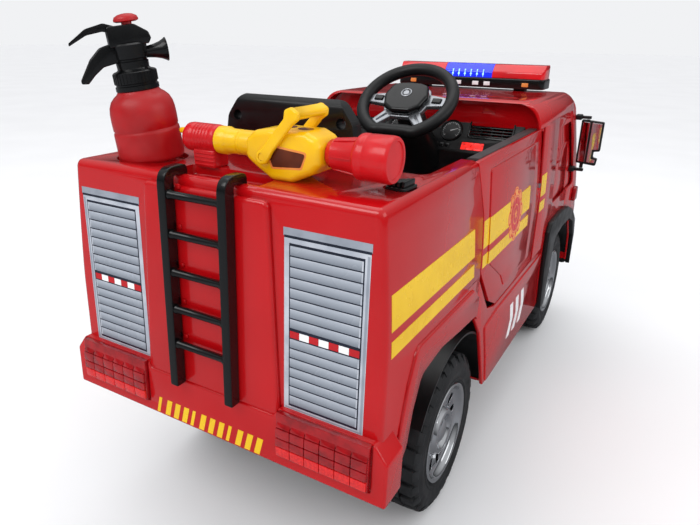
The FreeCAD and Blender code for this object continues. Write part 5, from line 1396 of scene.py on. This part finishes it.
grain(bar_tree, bar_shader, 4 * mm, 0.03 * mm)
blue = extruded("blue_lens_piece", lens_section, "Y", lens_low.y, lens_high.y, 0.6 * mm, 1)
fit(blue, "truck", lit_blue, ["light_bar_blue"], 40)
threads = []
for index in range(6):
    y = -0.035 + index * 14 * mm
    line = filleted(oblong(y - 0.6 * mm, y + 0.6 * mm, lens_low.z + 2 * mm, lens_low.z + 17 * mm), 0.5 * mm)
    threads.append(extruded("thread", line, "X", lens_low.x - 0.3 * mm, lens_low.x + 6 * mm))
    star = lathe("star", [(0, -0.6 * mm), (2.0 * mm, -0.4 * mm), (2.0 * mm, 6 * mm), (0, 6 * mm)], 20)
    threads.append(moved(star, aimed((lens_low.x, y, lens_low.z + 7 * mm), (1, 0, 0))))
fit(merged("led_threads", threads), "truck", glow_white)
ends = []
for sign in (-1, 1):
    edges = sorted((sign * (lens_high.y + 0.4 * mm), sign * red_high.y))
    end_lens = extruded("end_lens", lens_section, "Y", edges[0], edges[1])
    plan = filleted([(lens_low.x - 2 * mm, sign * 0.04, 0), (lens_low.x - 2 * mm, sign * red_high.y,
        18 * mm), (lens_high.x + 2 * mm, sign * red_high.y, 18 * mm),
        (lens_high.x + 2 * mm, sign * 0.04, 0)], 18 * mm, 7)
    shared(end_lens, extruded("end_plan", plan, "Z", 0.60, 0.66))
    ends.append(end_lens)
fit(merged("red_end_lenses", ends), "truck", bar_red, ["light_bar_red"], 40, 1.2 * mm)


# Door mirrors: black PP frames with metallised panes, each turning on a rod between two bracket arms
# that are screwed to the cab side.
mirror_glass, glass_tree, glass_shader = surface("metallised_mirror_film", "#DADDE0", 0.03, 1.0)
vary(glass_tree, glass_shader, "Roughness", 0.02, 0.06, 20 * mm)
grain(glass_tree, glass_shader, 25 * mm, 0.06 * mm)
for side, sign in (("right", -1), ("left", 1)):
    low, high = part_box(f"mirror_{side}")
    inner, outer = 0.240, 0.288
    frame_shape = filleted([(sign * outer, 0.454), (sign * outer, 0.520), (sign * inner, 0.5235),
        (sign * inner, 0.424), (sign * (outer - 5 * mm), 0.420), (sign * (outer - 3 * mm), 0.437),
        (sign * (outer - 13 * mm), 0.439), (sign * (outer - 13 * mm), 0.452)], 3.5 * mm, 5)
    head = extruded("mirror_frame", frame_shape, "X", 0.452, 0.464, 2.2 * mm, 4)
    spine = moved(lathe("mirror_spine", oblong(0, 3.9 * mm, 0, 111 * mm), 24),
        Matrix.Translation((0.458, sign * 0.253, 0.4125)))
    fit(merged(f"mirror_frame_{side}", [head, spine]), f"mirror_{side}", satin_black,
        [f"mirror_{side}"], 38)
    panes = []
    tall = filleted([(sign * 0.2440, 0.4285), (sign * 0.2590, 0.4270), (sign * 0.2590, 0.5175),
        (sign * 0.2440, 0.5190)], 2 * mm)
    wide = filleted([(sign * 0.2635, 0.4275), (sign * 0.2805, 0.4265), (sign * 0.2815, 0.4335),
        (sign * 0.2715, 0.4355), (sign * 0.2715, 0.4565), (sign * 0.2845, 0.4585), (sign * 0.2845, 0.5160),
        (sign * 0.2635, 0.5178)], 2 * mm)
    for outline in (tall, wide):
        panes.append(extruded("pane", outline, "X", 0.4513, 0.4530, 0.3 * mm, 1))
    fit(merged(f"mirror_panes_{side}", panes), f"mirror_{side}", mirror_glass)
    bracket = []
    for low_z in (0.4045, 0.5250):
        foot = filleted(oblong(0.447, 0.469, low_z - 3 * mm, low_z + 9 * mm), 4 * mm)
        bracket.append(extruded("mirror_foot", foot, "Y", *sorted((sign * 0.2265, sign * 0.2395)), 2 * mm, 3))
        arm_plan = filleted([(0.4525, sign * 0.236), (0.4525, sign * 0.259), (0.4635, sign * 0.259),
            (0.4635, sign * 0.236)], 3 * mm)
        bracket.append(extruded("mirror_arm", arm_plan, "Z", low_z, low_z + 6.4 * mm, 1.4 * mm, 2))
    fit(merged(f"mirror_bracket_{side}", bracket), "truck", satin_black, ["mirror_brackets"])


# Toy extinguisher: blow-moulded red PE bottle standing in the deck socket, leaning a little, with a
# black head, a squeeze lever on a pin, a bell nozzle and a red mushroom knob.
bottle_place = Vector((socket_x, socket_y, 0.5396))
lean = Matrix.Rotation(math.radians(8), 4, Vector((-0.69, -0.72, 0)).normalized())
bottle_turn = Matrix.Translation(bottle_place) @ lean
head_turn = bottle_turn @ Matrix.Rotation(math.radians(-36.9), 4, "Z")
satin_red, satin_tree, satin_shader = surface("satin_red_pe", "#AE0C12", 0.34, IOR=1.51)
vary(satin_tree, satin_shader, "Base Color", "#A50A10", "#B40E15", 40 * mm)
vary(satin_tree, satin_shader, "Roughness", 0.28, 0.44, 18 * mm)
grain(satin_tree, satin_shader, 3 * mm, 0.06 * mm)
bottle = lathe("bottle", [(r * mm, z * mm) for r, z in ((0, 1), (36, 0.6), (40.5, 1.4), (42.6, 4), (43, 8),
    (42.8, 24), (42.8, 38), (42.4, 41.4), (41.3, 42.6), (41.3, 43.8), (42.2, 45.2), (42.4, 56), (42.0, 66),
    (40.6, 74), (37.4, 81), (32.6, 86), (28.4, 89), (26.6, 91.8), (0, 91.8))], 96)
fit(moved(bottle, bottle_turn), "extinguisher", satin_red, ["extinguisher_bottle"], 50)
collar = lathe("collar", [(r * mm, z * mm) for r, z in ((0, 92), (26.6, 92), (27.5, 93), (27.5, 98),
    (26.2, 99), (26.2, 100.6), (27.5, 101.6), (27.5, 114.6), (26, 116), (21.5, 117.5), (20, 119),
    (20.4, 127), (19, 128), (19, 130), (20.7, 131), (22, 147), (20, 149), (0, 149))], 72)
head_parts = [collar]
for index in range(36):
    rib = extruded("rib", [(27.0 * mm, -0.8 * mm), (28.0 * mm, -0.5 * mm), (28.0 * mm, 0.5 * mm),
        (27.0 * mm, 0.8 * mm)], "Z", 102 * mm, 114.2 * mm)
    head_parts.append(moved(rib, Matrix.Rotation(2 * math.pi * index / 36, 4, "Z")))
block = extruded("head_block", filleted([(-0.024, 0.146, 2 * mm), (0.024, 0.146, 2 * mm),
    (0.028, 0.152, 3 * mm), (0.026, 0.160, 6 * mm), (0.010, 0.171, 9 * mm), (-0.024, 0.171, 4 * mm)],
    3 * mm), "Y", -0.013, 0.013, 2 * mm, 3)
carve(block, extruded("lever_way", oblong(-0.032, -0.007, 0.158, 0.180), "Y", -0.0058, 0.0058))
grip = extruded("grip", filleted([(-0.018, 0.152), (-0.036, 0.148, 12 * mm), (-0.050, 0.136, 14 * mm),
    (-0.066, 0.113), (-0.0665, 0.109), (-0.058, 0.108), (-0.048, 0.117, 12 * mm), (-0.036, 0.125, 8 * mm),
    (-0.016, 0.128)], 3 * mm, 6), "Y", -0.009, 0.009, 2.6 * mm, 4)
horn_profile = [(0, 16), (7, 16), (7.2, 22), (8.4, 30), (10.6, 38), (13.6, 44), (14.5, 45), (14.5, 46),
    (13, 46), (9.5, 38), (6.4, 32), (0, 31)]
horn = moved(lathe("horn", [(r * mm, z * mm) for r, z in horn_profile], 40), aimed((0, 0, 0.136), (1, 0, 0)))
head_parts += [block, grip, horn]
fit(moved(merged("extinguisher_head_piece", head_parts), head_turn), "extinguisher",
    glossy_black, ["extinguisher_head"], 38)
blade = extruded("lever_blade", filleted([(-0.0095, 0.1605, 2 * mm), (-0.0095, 0.1695, 2 * mm),
    (-0.026, 0.1758), (-0.048, 0.1718, 14 * mm), (-0.0700, 0.1580, 2 * mm), (-0.0708, 0.1542, 2 * mm),
    (-0.048, 0.1642, 14 * mm), (-0.028, 0.1662)], 8 * mm, 6), "Y", -0.005, 0.005, 1.6 * mm, 3)
wing = extruded("lever_wing", filleted([(-0.034, 0.1740), (-0.048, 0.1716, 10 * mm), (-0.0700, 0.1582),
    (-0.0706, 0.1550), (-0.048, 0.1660, 10 * mm), (-0.034, 0.1690)], 1.6 * mm, 5), "Y", -0.0085, 0.0085,
    1.4 * mm, 3)
pin = moved(lathe("lever_pin", oblong(0, 1.5 * mm, -0.012, 0.012), 20),
    aimed((-0.012, 0, 0.164), (0, 1, 0)))
fit(moved(merged("lever", [blade, wing, pin]), head_turn), "extinguisher_lever", glossy_black,
    ["extinguisher_lever"], 38)
knob = lathe("knob", [(r * mm, z * mm) for r, z in ((0, 171), (6.4, 171), (6.4, 173.6), (12, 173.9),
    (15.3, 175.2), (15.5, 177), (14, 180.4), (9, 182.9), (4, 183.8), (0, 184))], 48)
fit(moved(knob, head_turn @ Matrix.Translation((3 * mm, 0, 0))), "extinguisher", satin_red,
    ["extinguisher_knob"], 50)


# Water gun: yellow ABS tank in two glued halves, red ribbed grip sleeve, red swivel nozzle with a ring
# cap, and a yellow carrying handle on two pins.
gun_yellow, yellow_tree, yellow_shader = surface("polished_yellow_abs", "#F5BE0A", 0.2, IOR=1.53)
vary(yellow_tree, yellow_shader, "Base Color", "#EDB405", "#F8C514", 50 * mm)
vary(yellow_tree, yellow_shader, "Roughness", 0.15, 0.27, 20 * mm)
grain(yellow_tree, yellow_shader, 6 * mm, 0.04 * mm)
gun_axis = aimed((-0.515, 0, 0.578), (0, 1, 0))
gun_x, gun_half = -0.515, 26 * mm
tank_side = filleted([(-0.028, 0.588), (-0.040, 0.598), (-0.060, 0.6015), (-0.108, 0.6015), (-0.122, 0.595),
    (-0.127, 0.586), (-0.127, 0.566), (-0.118, 0.556), (-0.091, 0.5436), (-0.064, 0.5436), (-0.040, 0.558),
    (-0.028, 0.566)], 9 * mm, 5)
tank = extruded("tank", tank_side, "X", gun_x - gun_half, gun_x + gun_half, 10 * mm, 6)
gun_parts = [tank]
gun_parts.append(moved(lathe("barrel", [(r * mm, z * mm) for r,
    z in ((0, -34), (14, -34), (15, -30), (15, -10), (14.2, -9), (14.2, -6), (15, -5), (15, 10), (16.4, 12),
    (17, 14), (17, 26), (16, 27), (12, 27), (12, 66), (0, 66))], 56), gun_axis))
gun_parts.append(moved(lathe("spigot", oblong(0, 8 * mm, -0.158, -0.120), 32), gun_axis))
gun_parts.append(moved(lathe("pins", oblong(0, 4 * mm, -0.033, 0.033), 28),
    aimed((gun_x, -0.057, 0.571), (1, 0, 0))))
gun_parts.append(moved(lathe("gun_tip", [(0, 0), (4 * mm, 0), (4 * mm, 23 * mm), (3.4 * mm, 27 * mm),
    (2.4 * mm, 28 * mm), (0, 28 * mm)], 28), aimed((gun_x, 0.065, 0.584), (0, 1, 0))))
fit(merged("gun_tank_and_barrel", gun_parts), "gun", gun_yellow, ["gun_body"], 38)
window_film = plain_film("printed_brown_film", "#54220E", "#6A2E12")
stickers, borders = [], []
for sign in (-1, 1):
    x0 = gun_x + sign * gun_half
    edges = sorted((x0 - sign * 2 * mm, x0 + sign * 0.25 * mm))
    shape = filleted([(-0.113, 0.580), (-0.072, 0.584), (-0.060, 0.5735), (-0.066, 0.5575),
        (-0.106, 0.5605)], 4 * mm)
    borders.append(extruded("border", shape, "X", edges[0], edges[1]))
    edges = sorted((x0 - sign * 2 * mm, x0 + sign * 0.45 * mm))
    shape = filleted([(-0.1105, 0.578), (-0.0728, 0.5815), (-0.0625, 0.5725), (-0.0678, 0.5598),
        (-0.1045, 0.5628)], 3 * mm)
    stickers.append(extruded("sticker", shape, "X", edges[0], edges[1]))
for sign in (-1, 1):
    stickers.append(extruded("top_sticker", disc(9 * mm, gun_x + sign * 2 * mm, -0.084 + sign * 12 * mm,
        40), "Z", 0.600, 0.6019))
fit(merged("gun_borders", borders), "gun", badge_orange)
fit(merged("gun_stickers", stickers), "gun", window_film)

gun_red, gunred_tree, gunred_shader = surface("polished_red_nozzle_abs", "#C9151C", 0.2, IOR=1.53)
vary(gunred_tree, gunred_shader, "Base Color", "#C01219", "#D01920", 40 * mm)
vary(gunred_tree, gunred_shader, "Roughness", 0.15, 0.27, 15 * mm)
grain(gunred_tree, gunred_shader, 5 * mm, 0.05 * mm)
sleeve_profile = [(12.1, 27), (16.4, 27), (17.6, 28.4), (18, 31)]
for index in range(6):
    start = 35 + index * 5
    sleeve_profile += [(18, start), (17.5, start + 0.8), (17.5, start + 1.8), (18, start + 2.6)]
sleeve_profile += [(18, 70), (17.4, 74), (15, 77), (4.3, 77), (4.3, 76.8), (4.3, 66.2), (12.1, 66.2)]
grip_parts = [moved(lathe("grip_sleeve", [(r * mm, z * mm) for r, z in sleeve_profile], 56), gun_axis)]
grip_parts.append(extruded("grip_leg", filleted([(0.028, 0.566, 0), (0.062, 0.566, 0),
    (0.060, 0.5436, 4 * mm), (0.026, 0.5436, 4 * mm)], 4 * mm), "X", gun_x - 14 * mm, gun_x + 14 * mm,
    3 * mm, 3))
for index in range(4):
    rib_z = 0.5465 + 4.6 * mm * index
    grip_parts.append(extruded("leg_rib", filleted(oblong(gun_x - 15 * mm, gun_x + 15 * mm, 0.0275, 0.0595),
        3 * mm), "Z", rib_z, rib_z + 2.2 * mm, 0.8 * mm, 2))
fit(merged("gun_grip_piece", grip_parts), "gun", gun_red, ["gun_grip"], 38)
nozzle_profile = [(8.3, 127.6), (14.4, 127.6), (15.6, 129), (16.4, 133), (17.6, 134.4), (17.8, 140),
    (19, 152), (20.4, 160), (21, 162.4), (24.6, 165), (25.5, 167.4), (25.5, 173), (25.0, 174), (25.0, 176),
    (25.5, 177), (25.5, 200), (25, 203.4), (23.8, 205), (20.4, 205), (19.6, 203.6), (0, 203.2), (0, 160),
    (8.3, 160)]
nozzle = [moved(lathe("nozzle_cone", [(r * mm, -z * mm) for r, z in nozzle_profile], 72), gun_axis)]
for index in range(6):
    fin = extruded("fin", filleted([(0.0175, -0.162), (0.0220, -0.163), (0.0186, -0.136), (0.0165, -0.134)],
        1 * mm), "Y", -1.1 * mm, 1.1 * mm, 0.5 * mm, 2)
    fin_turn = gun_axis @ Matrix.Rotation(2 * math.pi * index / 6, 4, "Z")
    nozzle.append(moved(fin, fin_turn))
lug = extruded("nozzle_lug", filleted(oblong(-5 * mm, 5 * mm, 24 * mm, 26.6 * mm), 1 * mm), "Z", -0.190,
    -0.182, 0.6 * mm, 2)
nozzle.append(moved(lug, gun_axis @ Matrix.Rotation(math.radians(150), 4, "Z")))
fit(merged("gun_nozzle_piece", nozzle), "gun_nozzle", gun_red, ["gun_nozzle"], 38)

arm_side = filleted([(-0.0485, 0.568), (-0.0505, 0.5635), (-0.0560, 0.5613), (-0.0625, 0.5635),
    (-0.0665, 0.569), (-0.071, 0.577, 8 * mm), (-0.097, 0.6085, 10 * mm), (-0.1045, 0.614),
    (-0.1055, 0.622), (-0.096, 0.628), (-0.087, 0.6245), (-0.086, 0.615, 6 * mm), (-0.057, 0.581, 8 * mm),
    (-0.050, 0.576)], 5 * mm, 6)
handle = extruded("handle_arm_0", arm_side, "X", gun_x - gun_half - 8 * mm, gun_x - gun_half - mm, 2.8 * mm,
    4)
others = [extruded("handle_arm_1", arm_side, "X", gun_x + gun_half + mm, gun_x + gun_half + 8 * mm,
    2.8 * mm, 4)]
bar_side = filleted([(-0.088, 0.612), (-0.1035, 0.6145), (-0.105, 0.6215), (-0.096, 0.6275),
    (-0.0875, 0.624)], 6 * mm, 6)
others.append(extruded("handle_bar", bar_side, "X", gun_x - gun_half - 6 * mm, gun_x + gun_half + 6 * mm))
weld(handle, *others)
carve(handle, moved(lathe("pin_way", oblong(0, 4.3 * mm, -0.06, 0.06), 28),
    aimed((gun_x, -0.057, 0.571), (1, 0, 0))))
fit(handle, "gun_handle", gun_yellow, ["gun_handle"], 38)


# Deck clip: a black ribbed catch in the oval recess beside the gun, screwed down through the deck.
catch = [extruded("catch_base", filleted([(-0.504, -0.212), (-0.470, -0.214), (-0.466, -0.190),
    (-0.500, -0.186)], 5 * mm), "Z", deck - 4.8 * mm, deck + 3 * mm, 1.2 * mm, 3)]
for index in range(4):
    y = -0.2095 + index * 5.6 * mm
    catch.append(extruded("catch_rib", filleted([(-0.499, y), (-0.473, y - 1.5 * mm), (-0.473, y + 2 * mm),
        (-0.499, y + 3.5 * mm)], 1 * mm), "Z", deck + 2 * mm, deck + (10 - index) * mm, 0.8 * mm, 2))
fit(merged("deck_catch", catch), "truck", glossy_black)


# Running gear and floor: these keep the engineering shapes. Floor pan, gearbox cases and battery case
# are black mouldings; axles, beam, knuckles, tie rod and column are zinc-plated steel.
zinc, zinc_tree, zinc_shader = surface("zinc_plated_steel", "#9EA3A8", 0.34, 1.0)
vary(zinc_tree, zinc_shader, "Base Color", "#8F949A", "#AEB2B5", 10 * mm)
vary(zinc_tree, zinc_shader, "Roughness", 0.26, 0.46, 6 * mm)
grain(zinc_tree, zinc_shader, 1.5 * mm, 0.02 * mm)
for material, names in ((satin_black, ("chassis_pan", "rear_gearboxes", "battery")),
                        (zinc, ("rear_axle", "front_beam", "knuckle_right", "knuckle_left", "tie_rod",
                                "steering_column",
                                "door_hinge_pins"))):
    for name in names:
        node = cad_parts[name]
        for slot in node.material_slots:
            slot.material = material
        if not node.material_slots:
            node.data.materials.append(material)
